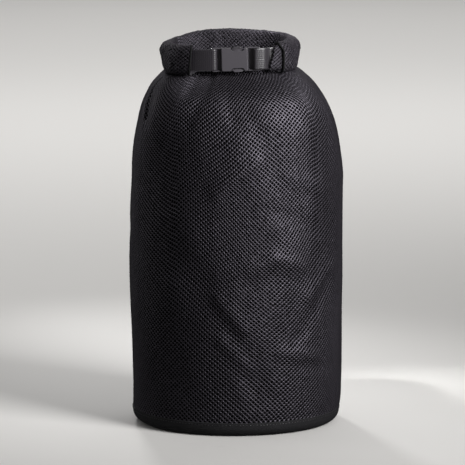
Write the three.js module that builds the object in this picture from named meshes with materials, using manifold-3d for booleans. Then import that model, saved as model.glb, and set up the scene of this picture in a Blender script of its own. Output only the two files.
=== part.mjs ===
// Mesh stuff sack: a round knitted mesh bag that stands on a cloth base, with its mouth rolled over and
// clipped round into a ring by a side-release buckle on two short webbing straps.
// Millimetres, +Z up, +X to the right, the buckle faces -Y, and the sack stands on Z = 0.

import * as THREE from 'three';
import { mergeVertices } from 'three/addons/utils/BufferGeometryUtils.js';
import Module from 'manifold-3d';

const wasm = await Module();
wasm.setup();

// Driving dimensions

const CLEARANCE = 0.4; // left between pieces that meet
const MESH_WALL = 2.2; // knitted mesh cloth
const BASE_WALL = 2.0; // smooth base cloth
const BASE_RADIUS = 121.6;
const BASE_CORNER = 12; // radius of the turned-up edge of the base
const BASE_SEAM = 14; // height of the seam between base and mesh
const AROUND = 56; // facets around the bag

// Mesh wall from the base seam to the neck: height, half width, and how far the section leans to the right
const WALL_SECTIONS = [
  { height: BASE_SEAM + CLEARANCE, halfWidth: BASE_RADIUS, lean: 0 },
  { height: 24, halfWidth: 122.2, lean: 0.9 },
  { height: 46, halfWidth: 122.5, lean: 1.5 },
  { height: 92, halfWidth: 123.6, lean: 1.3 },
  { height: 142, halfWidth: 124.6, lean: 0.2 },
  { height: 196, halfWidth: 125.0, lean: 0 },
  { height: 244, halfWidth: 124.7, lean: 0.1 },
  { height: 284, halfWidth: 123.6, lean: 0.9 },
  { height: 318, halfWidth: 121.6, lean: 0.6 },
  { height: 340, halfWidth: 118.3, lean: 0.5 },
  { height: 354, halfWidth: 115.2, lean: 0.2 },
  { height: 365, halfWidth: 112.0, lean: -0.6 },
  { height: 377, halfWidth: 107.2, lean: -1.6 },
  { height: 387, halfWidth: 101.6, lean: -2.4 },
  { height: 396, halfWidth: 95.6, lean: -3.6 },
  { height: 404, halfWidth: 89.2, lean: -5.0 },
  { height: 410, halfWidth: 82.8, lean: -6.2 },
];

// Folds that the clipped mouth presses into the shoulder: bearing from the front, heights, depth, half width
const SHOULDER_FOLDS = [
  { bearing: -60, bottom: 338, top: 410, depth: 3.0, halfWidth: 9 },
  { bearing: 78, bottom: 342, top: 412, depth: 3.0, halfWidth: 9 },
  { bearing: 148, bottom: 330, top: 416, depth: 4.5, halfWidth: 11 },
  { bearing: -152, bottom: 336, top: 416, depth: 4.0, halfWidth: 11 },
];

// Ring that the rolled mouth follows, seen from above: a rounded square, flattest at the back
const RING = {
  centerX: -7,
  centerY: -4,
  halfWidth: 72.2,
  halfDepth: 70,
  frontExponent: 3.0,
  backExponent: 3.6,
  height: 431, // middle of the roll at the sides
  backLift: 7.6, // the back of the ring stands higher
  slope: 0.028, // its front rises a little to the right
  backSlope: -0.005,
};
const RING_SETTLES = { from: 300, to: 414 }; // heights over which the round bag takes the ring's outline
const RING_LIFTS = { from: 386, to: 414 }; // heights over which it rises to the ring's lift

// Mouth: a slit under the roll, and the front panel that spans the ring as a slack floor
const LIP_BELOW_ROLL = 18.6; // from the middle of the roll down to the lips
const SLIT_HALF_WIDTH = 2.5;
const LIP_HALF_WIDTH = SLIT_HALF_WIDTH + MESH_WALL;
const SLIT_FADE = { from: 0, to: 7 }; // degrees past each end of the roll over which the slit opens
const FRONT_RISE = 2.6; // the front panel comes up under the straps and the buckle
const FRONT_FADE = { from: -12, to: -3 };
const FLOOR_ROWS = [
  { reach: 0.84, drop: 3.5 },
  { reach: 0.55, drop: 5.5 },
  { reach: 0.25, drop: 6.5 },
];
const FLOOR_CENTER_DROP = 7;

// Roll: a band of two mesh layers wound into a flat spiral, from the lips outward, over the top and in again
const ROLL = {
  band: 2.2,
  turns: 1.45,
  halfThickness: 8,
  thicknessPerTurn: 3.2,
  halfHeight: 17.1,
  heightPerTurn: 2.5,
  squareness: [2.6, 4.4, 3.5], // exponents of the rounded section for each half turn of the band
  pointsAlongBand: 24,
  stations: 28,
  rightEnd: 47, // bearings of the outer layer's two ends
  leftEnd: 325,
  rightTuck: 10, // degrees by which the inner layers stick out of the right end
  leftTuck: 2,
  skew: 2.3, // degrees by which the outer side of each end reaches past its middle
  innerFrom: 0.75, // turns over which the outer layer gives way to the inner ones
  innerTo: 1.05,
  taper: 0.36, // share by which the section is wider at its top than at mid height
  lean: 1.6, // how far the top of the section leans out of the ring
  taperFrom: 24, // degrees inside each end over which the taper and the lean set in
  taperTo: 40,
  innerSlant: 2, // degrees by which the ends lean: the inner layers' right end, the outer layer's, the left end
  outerSlant: 4,
  leftSlant: 1,
};
const ROLL_CREASES = [
  { bearing: 94, squeeze: 0.13, halfWidth: 5 },
  { bearing: 277, squeeze: 0.15, halfWidth: 5 },
  { bearing: 205, squeeze: 0.08, halfWidth: 8 },
];

// Webbing straps, sewn into the core of the roll and looped round the buckle's bars
const STRAP = {
  width: 23.6,
  thickness: 1.7,
  coreOffset: -1.15, // the straps lie on the inner side of the roll's middle line
  layerOffset: 1.0, // from the strap's middle line to each of its two layers
  rise: -0.65, // height above the roll's middle line
  tuck: 12, // degrees of strap inside the roll
  lead: 1, // degrees of strap that follow the ring outside the roll
  pointsPerLayer: 9,
  loopHalfTurn: 110, // degrees round the bar, each way
  loopPoints: 7,
  facets: 60,
};

// Side-release buckle, drawn in its own frame: X along the strap, Z across it
const BUCKLE = {
  y: -71.8,
  halfHeight: 13.5,
  thickness: 10.6,
  bevel: 1.4,
  corner: 2.5,
  socketLeft: -17,
  socketRight: 13.6,
  frameHalfHeight: 13.8,
  frameThickness: 3.4,
  frameBevel: 0.8,
  frameCorner: 1.5,
  frameOverlap: 1.5, // of a strap frame with the body that carries it
  barRadius: 1.8,
  loopRoom: 1.3, // between a bar and its strap
  socketBarX: -26.4,
  plugBarX: 25.8,
  flangeThickness: 1.6,
  flangeSetBack: 0.7, // of the flange from the socket's two faces
};

// Room inside the socket, the plug's guide, and the grip of each spring arm, in the buckle's frame
const CAVITY = { left: -12.5, halfHeight: 10.6, thickness: 6.8, corner: 1 };
const GUIDE = { left: -9, halfHeight: 2.4, corner: 1 };
const GRIP = { left: -5, right: 8.4, foot: 10, top: 14.4, room: 0.8, corner: 1.5 };
const ARM_THICKNESS = 5.8;
const PLUG_ROOT = 3.4; // depth of the plug's root inside the socket's mouth
const SMALL_CORNER = 0.5;
const OVERCUT = 2; // how far a cutting shape reaches past what it cuts

// Height of the straps and the buckle at X = 0
const BUCKLE_HEIGHT = RING.height + STRAP.rise - RING.slope * RING.centerX;

// Small helpers

function toRadians(degrees) {
  return (degrees * Math.PI) / 180;
}

function smoothstep(from, to, value) {
  const t = Math.min(Math.max((value - from) / (to - from), 0), 1);
  return t * t * (3 - 2 * t);
}

function lerp(from, to, t) {
  return from + (to - from) * t;
}

// A rounded cosine or sine that bulges a circle towards a square
function squared(value, exponent) {
  return Math.sign(value) * Math.abs(value) ** (2 / exponent);
}

function toManifold(geometry) {
  const bare = geometry.clone();
  bare.deleteAttribute('normal');
  bare.deleteAttribute('uv');
  const merged = mergeVertices(bare, 1e-4);
  return new wasm.Manifold(
    new wasm.Mesh({
      numProp: 3,
      vertProperties: new Float32Array(merged.getAttribute('position').array),
      triVerts: new Uint32Array(merged.getIndex().array),
    }),
  );
}

function toGeometry(manifold) {
  const mesh = manifold.getMesh();
  const geometry = new THREE.BufferGeometry();
  geometry.setAttribute('position', new THREE.BufferAttribute(new Float32Array(mesh.vertProperties), 3));
  geometry.setIndex(new THREE.BufferAttribute(new Uint32Array(mesh.triVerts), 1));
  geometry.computeVertexNormals();
  return geometry;
}

function geometryFrom(points, triangles) {
  const geometry = new THREE.BufferGeometry();
  geometry.setAttribute(
    'position',
    new THREE.Float32BufferAttribute(
      points.flatMap((point) => [point.x, point.y, point.z]),
      3,
    ),
  );
  geometry.setIndex(triangles);
  geometry.computeVertexNormals();
  return geometry;
}

// Closed skin through rings of points, bottom ring first, each ring counterclockwise from above
function skinRings(rings, bottomPoint, topPoint) {
  const count = rings[0].length;
  const points = [...rings.flat(), bottomPoint, topPoint];
  const bottom = points.length - 2;
  const top = points.length - 1;
  const lastRing = (rings.length - 1) * count;
  const triangles = [];
  for (let i = 0; i < count; i += 1) {
    const next = (i + 1) % count;
    for (let k = 0; k < rings.length - 1; k += 1) {
      const low = k * count;
      const high = low + count;
      triangles.push(low + i, low + next, high + next, low + i, high + next, high + i);
    }
    triangles.push(bottom, next, i, top, lastRing + i, lastRing + next);
  }
  return geometryFrom(points, triangles);
}

// Ring that the mouth follows

// Bearing 0 is the front, 90 the right
function bearingDirection(bearing) {
  return new THREE.Vector2(Math.sin(toRadians(bearing)), -Math.cos(toRadians(bearing)));
}

function ringRadius(bearing) {
  const direction = bearingDirection(bearing);
  const exponent = direction.y < 0 ? RING.frontExponent : RING.backExponent;
  const across = Math.abs(direction.x / RING.halfWidth) ** exponent;
  const along = Math.abs(direction.y / RING.halfDepth) ** exponent;
  return (across + along) ** (-1 / exponent);
}

function ringLift(bearing) {
  const direction = bearingDirection(bearing);
  const back = Math.max(direction.y, 0) ** 2;
  const slope = lerp(RING.slope, RING.backSlope, back);
  return RING.backLift * back + slope * ringRadius(bearing) * direction.x;
}

function ringPoint(bearing) {
  const plan = bearingDirection(bearing).multiplyScalar(ringRadius(bearing));
  return new THREE.Vector3(RING.centerX + plan.x, RING.centerY + plan.y, RING.height + ringLift(bearing));
}

// Unit vector out of the ring, level
function ringNormal(bearing) {
  const step = 0.5;
  const along = ringPoint(bearing + step).sub(ringPoint(bearing - step));
  return new THREE.Vector3(along.y, -along.x, 0).normalize();
}

function ringOffset(bearing, offset, rise) {
  return ringPoint(bearing).addScaledVector(ringNormal(bearing), offset).add(new THREE.Vector3(0, 0, rise));
}

// Mesh bag

function foldDepth(bearing, height, radius) {
  let depth = 0;
  for (const fold of SHOULDER_FOLDS) {
    const turn = ((bearing - fold.bearing + 540) % 360) - 180;
    const away = (toRadians(turn) * radius) / fold.halfWidth;
    const along = Math.min(Math.max((height - fold.bottom) / (fold.top - fold.bottom), 0), 1);
    depth += fold.depth * Math.exp(-away * away) * Math.sin(Math.PI * along) ** 2;
  }
  return depth;
}

function wallPoint(section, bearing) {
  const settle = smoothstep(RING_SETTLES.from, RING_SETTLES.to, section.height);
  const lifted = smoothstep(RING_LIFTS.from, RING_LIFTS.to, section.height);
  const outline = lerp(1, ringRadius(bearing) / RING.halfWidth, settle);
  const radius = section.halfWidth * outline - foldDepth(bearing, section.height, section.halfWidth);
  const plan = bearingDirection(bearing).multiplyScalar(radius);
  return new THREE.Vector3(
    section.lean + plan.x,
    RING.centerY * settle + plan.y,
    section.height + ringLift(bearing) * lifted,
  );
}

function ringOf(pointAt) {
  return Array.from({ length: AROUND }, (unused, i) => pointAt((360 * i) / AROUND));
}

// 0 in front, between the ends of the roll, and 1 under it
function underRoll(bearing, fade) {
  const right = smoothstep(fade.from, fade.to, bearing - ROLL.rightEnd);
  const left = smoothstep(fade.from, fade.to, ROLL.leftEnd - bearing);
  return right * left;
}

function lipDrop(bearing) {
  return LIP_BELOW_ROLL - FRONT_RISE * (1 - underRoll(bearing, FRONT_FADE));
}

// Floor of mesh inside the ring, sagging from the lips to the middle
function floorPoint(bearing, row, below) {
  const rim = ringPoint(bearing);
  const lipHeight = rim.z - lipDrop(bearing);
  const flat = RING.height - LIP_BELOW_ROLL;
  return new THREE.Vector3(
    lerp(RING.centerX, rim.x, row.reach),
    lerp(RING.centerY, rim.y, row.reach),
    lerp(flat, lipHeight, row.reach ** 2) - row.drop - below,
  );
}

function floorCenter(below) {
  const height = RING.height - LIP_BELOW_ROLL - FLOOR_CENTER_DROP - below;
  return new THREE.Vector3(RING.centerX, RING.centerY, height);
}

// Push a ring of wall points inward by the cloth's thickness, square to the wall
function insideOf(rings, k) {
  const below = rings[Math.max(k - 1, 0)];
  const above = rings[Math.min(k + 1, rings.length - 1)];
  return rings[k].map((point, i) => {
    const next = rings[k][(i + 1) % AROUND];
    const previous = rings[k][(i + AROUND - 1) % AROUND];
    const around = next.clone().sub(previous);
    const upward = above[i].clone().sub(below[i]);
    const outward = around.cross(upward).normalize();
    return point.clone().addScaledVector(outward, -MESH_WALL);
  });
}

function sackBody() {
  const wall = WALL_SECTIONS.map((section) => ringOf((bearing) => wallPoint(section, bearing)));
  const outerLip = ringOf((bearing) => ringOffset(bearing, LIP_HALF_WIDTH, -lipDrop(bearing)));
  const innerLip = ringOf((bearing) => ringOffset(bearing, -LIP_HALF_WIDTH, -lipDrop(bearing)));
  const floor = FLOOR_ROWS.map((row) => ringOf((bearing) => floorPoint(bearing, row, 0)));
  const foot = new THREE.Vector3(0, 0, WALL_SECTIONS[0].height);
  const skin = skinRings([...wall, outerLip, innerLip, ...floor], foot, floorCenter(0));

  // The hollow reaches out below the base seam, and up between the lips where the slit is open
  const belowSeam = new THREE.Vector3(0, 0, -2 * MESH_WALL);
  const hollowWall = wall.map((ring, k) => insideOf([...wall, outerLip], k));
  hollowWall[0] = hollowWall[0].map((point) => point.setZ(WALL_SECTIONS[0].height).add(belowSeam));
  const slitRise = (bearing) => lerp(-MESH_WALL, MESH_WALL, underRoll(bearing, SLIT_FADE)) - lipDrop(bearing);
  const slitOuter = ringOf((bearing) => ringOffset(bearing, SLIT_HALF_WIDTH, slitRise(bearing)));
  const slitInner = ringOf((bearing) => ringOffset(bearing, -SLIT_HALF_WIDTH, slitRise(bearing)));
  const hollowFloor = FLOOR_ROWS.map((row) => ringOf((bearing) => floorPoint(bearing, row, MESH_WALL)));
  const hollow = skinRings(
    [...hollowWall, slitOuter, slitInner, ...hollowFloor],
    foot.clone().add(belowSeam),
    floorCenter(MESH_WALL),
  );
  return toGeometry(toManifold(skin).subtract(toManifold(hollow)));
}

// Base: a shallow dish of cloth, turned on the bag's axis
function basePanel() {
  const cornerSteps = 4;
  const profile = [new THREE.Vector2(0, 0)];
  const corner = (radius, step) => {
    const angle = (Math.PI / 2) * (step / cornerSteps);
    return new THREE.Vector2(
      BASE_RADIUS - BASE_CORNER + radius * Math.sin(angle),
      BASE_CORNER - radius * Math.cos(angle),
    );
  };
  for (let step = 0; step <= cornerSteps; step += 1) {
    profile.push(corner(BASE_CORNER, step));
  }
  profile.push(new THREE.Vector2(BASE_RADIUS, BASE_SEAM));
  profile.push(new THREE.Vector2(BASE_RADIUS - BASE_WALL, BASE_SEAM));
  for (let step = cornerSteps; step >= 0; step -= 1) {
    profile.push(corner(BASE_CORNER - BASE_WALL, step));
  }
  profile.push(new THREE.Vector2(0, BASE_WALL));
  const turned = new THREE.LatheGeometry(profile, AROUND);
  turned.rotateX(Math.PI / 2);
  return toGeometry(toManifold(turned));
}

// Rolled mouth

function rollSqueeze(bearing) {
  let squeeze = 0;
  for (const crease of ROLL_CREASES) {
    const away = (bearing - crease.bearing) / crease.halfWidth;
    squeeze += crease.squeeze * Math.exp(-away * away);
  }
  return 1 - squeeze;
}

// 0 near the ends of the roll, where the straps lie in it, and 1 away from them
function rollSpread(bearing) {
  const right = smoothstep(ROLL.taperFrom, ROLL.taperTo, bearing - ROLL.rightEnd);
  const left = smoothstep(ROLL.taperFrom, ROLL.taperTo, ROLL.leftEnd - bearing);
  return right * left;
}

function rollSquareness(turn) {
  return ROLL.squareness[Math.min(Math.max(Math.floor(2 * turn), 0), ROLL.squareness.length - 1)];
}

// Height on the section at a turn, from -1 at its bottom to 1 at its top
function rollRise(turn) {
  return squared(Math.sin(2 * Math.PI * turn - Math.PI / 2), rollSquareness(turn));
}

// Middle line of the band, in turns from its outer end at the lips: X out of the ring, Y up
function rollLine(turn, squeeze, spread) {
  const angle = 2 * Math.PI * turn - Math.PI / 2;
  const rise = rollRise(turn);
  const widening = 1 + ROLL.taper * spread * (0.75 * rise + 0.25 * rise * rise);
  const halfThickness = (ROLL.halfThickness - ROLL.thicknessPerTurn * turn) * squeeze * widening;
  const halfHeight = ROLL.halfHeight - ROLL.heightPerTurn * turn;
  const out = halfThickness * squared(Math.cos(angle), rollSquareness(turn));
  return new THREE.Vector2(
    out + ROLL.lean * spread * rise,
    halfHeight * rise,
  );
}

function rollSidePoint(turn, squeeze, spread, side) {
  const step = 0.01;
  const ahead = rollLine(turn + step, squeeze, spread);
  const along = ahead.sub(rollLine(turn - step, squeeze, spread)).normalize();
  const outward = new THREE.Vector2(along.y, -along.x);
  return rollLine(turn, squeeze, spread).addScaledVector(outward, (side * ROLL.band) / 2);
}

// Bearings of the roll's two ends at a turn of the band
function rollEnds(turn) {
  const inner = smoothstep(ROLL.innerFrom, ROLL.innerTo, turn);
  const rise = rollRise(turn);
  const skew = (ROLL.skew * rollLine(turn, 1, 0).x) / ROLL.halfThickness;
  const slant = ROLL.innerSlant * inner * rise - ROLL.outerSlant * (1 - inner) * smoothstep(0.35, 1, rise);
  return {
    start: ROLL.rightEnd - ROLL.rightTuck * inner - skew + slant,
    end: ROLL.leftEnd + ROLL.leftTuck * inner + skew + ROLL.leftSlant * rise,
  };
}

function rolledCollar() {
  const count = ROLL.pointsAlongBand;
  const turnAt = (i) => (ROLL.turns * i) / (count - 1);
  const corners = [];
  for (let i = 0; i < count; i += 1) {
    corners.push({ turn: turnAt(i), side: 1 });
  }
  for (let i = count - 1; i >= 0; i -= 1) {
    corners.push({ turn: turnAt(i), side: -1 });
  }
  const points = [];
  for (let station = 0; station < ROLL.stations; station += 1) {
    for (const { turn, side } of corners) {
      const ends = rollEnds(turn);
      const bearing = lerp(ends.start, ends.end, station / (ROLL.stations - 1));
      const section = rollSidePoint(turn, rollSqueeze(bearing), rollSpread(bearing), side);
      points.push(ringOffset(bearing, section.x, section.y));
    }
  }
  const around = corners.length;
  const triangles = [];
  for (let station = 0; station < ROLL.stations - 1; station += 1) {
    const here = station * around;
    const there = here + around;
    for (let i = 0; i < around; i += 1) {
      const next = (i + 1) % around;
      triangles.push(here + i, there + next, here + next, here + i, there + i, there + next);
    }
  }
  const last = (ROLL.stations - 1) * around;
  for (let i = 0; i < count - 1; i += 1) {
    const across = around - 1 - i;
    triangles.push(i, i + 1, across - 1, i, across - 1, across);
    triangles.push(last + i, last + across - 1, last + i + 1, last + i, last + across, last + across - 1);
  }
  return geometryFrom(points, triangles);
}

// Webbing strap: a band doubled back round a bar, drawn from above and raised to the strap's width

function strapLine(rollEnd, inward, barX) {
  const layer = (side) => {
    const points = [];
    for (let i = 0; i < STRAP.pointsPerLayer; i += 1) {
      const bearing = rollEnd + inward * lerp(STRAP.tuck, -STRAP.lead, i / (STRAP.pointsPerLayer - 1));
      const offset = STRAP.coreOffset + side * STRAP.layerOffset;
      const point = ringOffset(bearing, offset, 0);
      points.push(point.setZ(0));
    }
    return points;
  };
  const loopRadius = BUCKLE.barRadius + BUCKLE.loopRoom + STRAP.thickness / 2;
  const away = Math.sign(-barX);
  const loop = [];
  for (let i = 0; i < STRAP.loopPoints; i += 1) {
    const turn = lerp(STRAP.loopHalfTurn, -STRAP.loopHalfTurn, i / (STRAP.loopPoints - 1));
    const x = barX + away * loopRadius * Math.cos(toRadians(turn));
    const y = BUCKLE.y - loopRadius * Math.sin(toRadians(turn));
    loop.push(new THREE.Vector3(x, y, 0));
  }
  return new THREE.CatmullRomCurve3([...layer(1), ...loop, ...layer(-1).reverse()]);
}

function strap(rollEnd, inward, barX) {
  const line = strapLine(rollEnd, inward, barX);
  const left = [];
  const right = [];
  for (let i = 0; i <= STRAP.facets; i += 1) {
    const point = line.getPointAt(i / STRAP.facets);
    const along = line.getTangentAt(i / STRAP.facets);
    const across = new THREE.Vector2(-along.y, along.x).multiplyScalar(STRAP.thickness / 2);
    const middle = new THREE.Vector2(point.x, point.y);
    left.push(middle.clone().add(across));
    right.push(middle.clone().sub(across));
  }
  const outline = new THREE.Shape([...left, ...right.reverse()]);
  const band = new THREE.ExtrudeGeometry(outline, { depth: STRAP.width, bevelEnabled: false });
  band.applyMatrix4(new THREE.Matrix4().makeShear(0, RING.slope, 0, 0, 0, 0));
  band.translate(0, 0, BUCKLE_HEIGHT - STRAP.width / 2);
  return toGeometry(toManifold(band));
}

// Buckle

// Plate drawn in X and Z, centred on Y = 0, with bevelled edges
function plate(shape, thickness, bevel) {
  const geometry = new THREE.ExtrudeGeometry(shape, {
    depth: thickness - 2 * bevel,
    bevelEnabled: bevel > 0,
    bevelThickness: bevel,
    bevelSize: bevel,
    bevelOffset: -bevel,
    bevelSegments: 2,
    curveSegments: 3,
  });
  geometry.rotateX(Math.PI / 2);
  geometry.translate(0, thickness / 2 - bevel, 0);
  return toManifold(geometry);
}

function roundedBox(oneSide, otherSide, oneEnd, otherEnd, radius) {
  const left = Math.min(oneSide, otherSide);
  const right = Math.max(oneSide, otherSide);
  const bottom = Math.min(oneEnd, otherEnd);
  const top = Math.max(oneEnd, otherEnd);
  const shape = new THREE.Shape();
  shape.moveTo(left + radius, bottom);
  shape.lineTo(right - radius, bottom);
  shape.quadraticCurveTo(right, bottom, right, bottom + radius);
  shape.lineTo(right, top - radius);
  shape.quadraticCurveTo(right, top, right - radius, top);
  shape.lineTo(left + radius, top);
  shape.quadraticCurveTo(left, top, left, top - radius);
  shape.lineTo(left, bottom + radius);
  shape.quadraticCurveTo(left, bottom, left + radius, bottom);
  return shape;
}

// Two rails and a bar that a strap loops round, drawn from the edge of the body that carries them
function strapFrame(bodyEdge, barX) {
  const away = Math.sign(barX);
  const root = bodyEdge - away * BUCKLE.frameOverlap;
  const outer = barX + away * BUCKLE.barRadius;
  const slotEnd = bodyEdge - away * SMALL_CORNER;
  const slotEdge = barX - away * BUCKLE.barRadius;
  const height = BUCKLE.frameHalfHeight;
  const slotHeight = STRAP.width / 2 + CLEARANCE;
  const frame = roundedBox(root, outer, -height, height, BUCKLE.frameCorner);
  const slot = roundedBox(slotEnd, slotEdge, -slotHeight, slotHeight, SMALL_CORNER);
  const solid = plate(frame, BUCKLE.frameThickness, BUCKLE.frameBevel);
  return solid.subtract(plate(slot, BUCKLE.frameThickness + OVERCUT, 0));
}

function buckleSocket() {
  const { socketLeft, socketRight, halfHeight, thickness, bevel } = BUCKLE;
  const face = roundedBox(socketLeft, socketRight, -halfHeight, halfHeight, BUCKLE.corner);
  const frame = strapFrame(socketLeft, BUCKLE.socketBarX);
  const mouth = socketRight + OVERCUT;
  const cavity = roundedBox(CAVITY.left, mouth, -CAVITY.halfHeight, CAVITY.halfHeight, CAVITY.corner);
  let socket = plate(face, thickness, bevel).add(frame).subtract(plate(cavity, CAVITY.thickness, 0));
  for (const side of [-1, 1]) {
    const foot = side * GRIP.foot;
    const past = side * (GRIP.top + OVERCUT);
    const window = roundedBox(GRIP.left - GRIP.room, GRIP.right + GRIP.room, foot, past, GRIP.corner);
    socket = socket.subtract(plate(window, thickness + OVERCUT, 0));
  }
  return toGeometry(socket);
}

// Spring arm, drawn for the upper side: along the outside from root to tip, then back along the inside
const ARM_OUTLINE = [
  { x: BUCKLE.socketRight, z: 9.4 },
  { x: GRIP.right, z: 9.8 },
  { x: GRIP.right, z: 12.6 },
  { x: 5, z: 14.2 },
  { x: -1, z: GRIP.top },
  { x: -4.2, z: 13.2 },
  { x: GRIP.left, z: GRIP.foot },
  { x: -11, z: 9 },
  { x: -11.5, z: 6.8 },
  { x: -4, z: 7.2 },
  { x: GRIP.right, z: 6.4 },
  { x: BUCKLE.socketRight, z: 6.2 },
];

function armShape(side) {
  return new THREE.Shape(ARM_OUTLINE.map(({ x, z }) => new THREE.Vector2(x, side * z)));
}

function bucklePlug() {
  const flangeLeft = BUCKLE.socketRight + CLEARANCE;
  const flangeRight = flangeLeft + BUCKLE.flangeThickness;
  const rootRight = flangeRight - SMALL_CORNER;
  const inMouth = CAVITY.halfHeight - CLEARANCE;
  const flange = roundedBox(flangeLeft, flangeRight, -BUCKLE.halfHeight, BUCKLE.halfHeight, SMALL_CORNER);
  const root = roundedBox(flangeLeft - PLUG_ROOT, rootRight, -inMouth, inMouth, SMALL_CORNER);
  const guide = roundedBox(GUIDE.left, rootRight, -GUIDE.halfHeight, GUIDE.halfHeight, GUIDE.corner);
  let plug = plate(flange, BUCKLE.thickness - 2 * BUCKLE.flangeSetBack, 0);
  plug = plug.add(plate(root, ARM_THICKNESS, 0));
  plug = plug.add(plate(guide, ARM_THICKNESS, 0));
  for (const side of [-1, 1]) {
    plug = plug.add(plate(armShape(side), ARM_THICKNESS, 0));
  }
  plug = plug.add(strapFrame(flangeRight, BUCKLE.plugBarX));
  return toGeometry(plug);
}

// Assembly

const meshCloth = new THREE.MeshStandardMaterial({ color: 0x2b2a2d, roughness: 0.85, metalness: 0 });
const baseCloth = new THREE.MeshStandardMaterial({ color: 0x2e2d30, roughness: 0.75, metalness: 0 });
const webbing = new THREE.MeshStandardMaterial({ color: 0x232225, roughness: 0.7, metalness: 0 });
const acetal = new THREE.MeshStandardMaterial({ color: 0x3a3a3d, roughness: 0.45, metalness: 0 });

function piece(name, geometry, material) {
  const mesh = new THREE.Mesh(geometry, material);
  mesh.name = name;
  return mesh;
}

const sack = new THREE.Group();
sack.add(piece('sack_body', sackBody(), meshCloth));
sack.add(piece('base_panel', basePanel(), baseCloth));
sack.add(piece('rolled_collar', rolledCollar(), meshCloth));
sack.add(piece('strap_left', strap(ROLL.leftEnd, -1, BUCKLE.socketBarX), webbing));
sack.add(piece('strap_right', strap(ROLL.rightEnd - ROLL.rightTuck, 1, BUCKLE.plugBarX), webbing));

const buckle = new THREE.Group();
buckle.position.set(0, BUCKLE.y, BUCKLE_HEIGHT);
buckle.rotation.y = -Math.atan(RING.slope);
buckle.add(piece('buckle_socket', buckleSocket(), acetal));
buckle.add(piece('buckle_plug', bucklePlug(), acetal));
sack.add(buckle);

export default sack;
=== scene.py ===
# Looks of the mesh stuff sack: knitted net, base cloth, rolled mouth, webbing and buckle
import math

import bpy
import numpy as np
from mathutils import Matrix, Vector


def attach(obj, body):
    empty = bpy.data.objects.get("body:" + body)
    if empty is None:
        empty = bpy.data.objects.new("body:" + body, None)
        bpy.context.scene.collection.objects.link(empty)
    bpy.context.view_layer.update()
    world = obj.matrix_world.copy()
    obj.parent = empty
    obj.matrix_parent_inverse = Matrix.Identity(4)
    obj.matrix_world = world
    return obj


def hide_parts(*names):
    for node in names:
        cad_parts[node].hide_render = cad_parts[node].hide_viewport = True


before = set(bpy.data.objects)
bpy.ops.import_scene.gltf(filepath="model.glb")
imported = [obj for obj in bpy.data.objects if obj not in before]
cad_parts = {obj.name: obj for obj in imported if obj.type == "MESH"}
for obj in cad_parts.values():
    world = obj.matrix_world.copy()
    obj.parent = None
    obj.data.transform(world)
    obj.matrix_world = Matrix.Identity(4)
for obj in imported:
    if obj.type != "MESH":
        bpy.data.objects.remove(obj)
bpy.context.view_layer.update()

MM = 0.001  # lengths below are in millimetres, and meshes are in metres
NEAR = 0.01  # two places count as the same within this
TINY = 1e-9

# Sizes of the cloth, shared with the solids
WALL = 2.2
BASE_WALL = 2.0
BASE_RADIUS = 121.6
BASE_CORNER = 12.0
BASE_SEAM = 14.0
CLEARANCE = 0.4

# Mesh wall from the base seam to the lips: height, half width, lean to the right
WALL_SECTIONS = np.array([
    (BASE_SEAM + CLEARANCE, BASE_RADIUS, 0.0),
    (24, 122.2, 0.9),
    (46, 122.5, 1.5),
    (92, 123.6, 1.3),
    (142, 124.6, 0.2),
    (196, 125.0, 0.0),
    (244, 124.7, 0.1),
    (284, 123.6, 0.9),
    (318, 121.6, 0.6),
    (340, 118.3, 0.5),
    (354, 115.2, 0.2),
    (365, 112.0, -0.6),
    (377, 107.2, -1.6),
    (387, 101.6, -2.4),
    (396, 95.6, -3.6),
    (404, 87.4, -5.0),
    (410, 79.8, -6.2),
    (412.4, 75.6, -7.0),
])

# Folds pressed into the shoulder: bearing from the front, bottom, top, depth, half width
SHOULDER_FOLDS = (
    (-60, 338, 410, 3.0, 9),
    (78, 342, 412, 3.0, 9),
    (148, 330, 416, 4.5, 11),
    (-152, 336, 416, 4.0, 11),
)

# Soft creases in the filled wall: bearing and height of each end, depth (ridges are negative), half width
WALL_CREASES = (
    (-4.5, 388, -1.5, 362, 1.2, 8.5),
    (8, 372, 14, 346, 0.7, 9),
    (-10.5, 282, 11, 319, -1.7, 9),
    (8, 194, 21, 205, -1.7, 9.5),
    (21, 205, 37, 196, -1.7, 9.5),
    (8, 176, 34, 180, 0.8, 12),
    (-9, 160, 3, 126, -2.4, 9),
    (-8, 112, 5, 82, -2.2, 9),
    (-1, 70, 3, 48, -1.4, 10),
    (24, 97, 46, 87, -1.9, 8.5),
    (38, 80, 58, 72, 1.2, 8),
    (34, 110, 59, 173, 1.9, 9.5),
    (42, 160, 64, 192, -1.8, 9),
    (-31, 248, -29, 232, -2.0, 17),
    (-18, 250, -16, 224, 1.2, 12),
    (-35, 170, -33, 154, -2.0, 17),
    (-20, 394, -28, 360, 1.5, 8),
    (-34, 390, -42, 352, -1.2, 9),
    (-20, 406, -30, 398, 4.0, 8),
    (28, 396, 36, 362, 1.2, 9),
    (-68, 406, -63.5, 362, 2.8, 3.5),
    (72.5, 394, 83, 356, 2.2, 3.2),
    (20, 262, 44, 236, 1.2, 11),
    (30, 300, 52, 280, -1.2, 11),
    (112, 150, 134, 108, 2.2, 10),
    (150, 260, 171, 232, -2.2, 12),
    (190, 110, 214, 140, 2.2, 10),
    (204, 330, 196, 290, 1.8, 11),
    (232, 300, 246, 258, -2.0, 11),
    (128, 340, 140, 300, 1.8, 11),
    (-96, 200, -84, 240, 1.4, 12),
    (92, 290, 104, 330, -1.2, 12),
)
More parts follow.
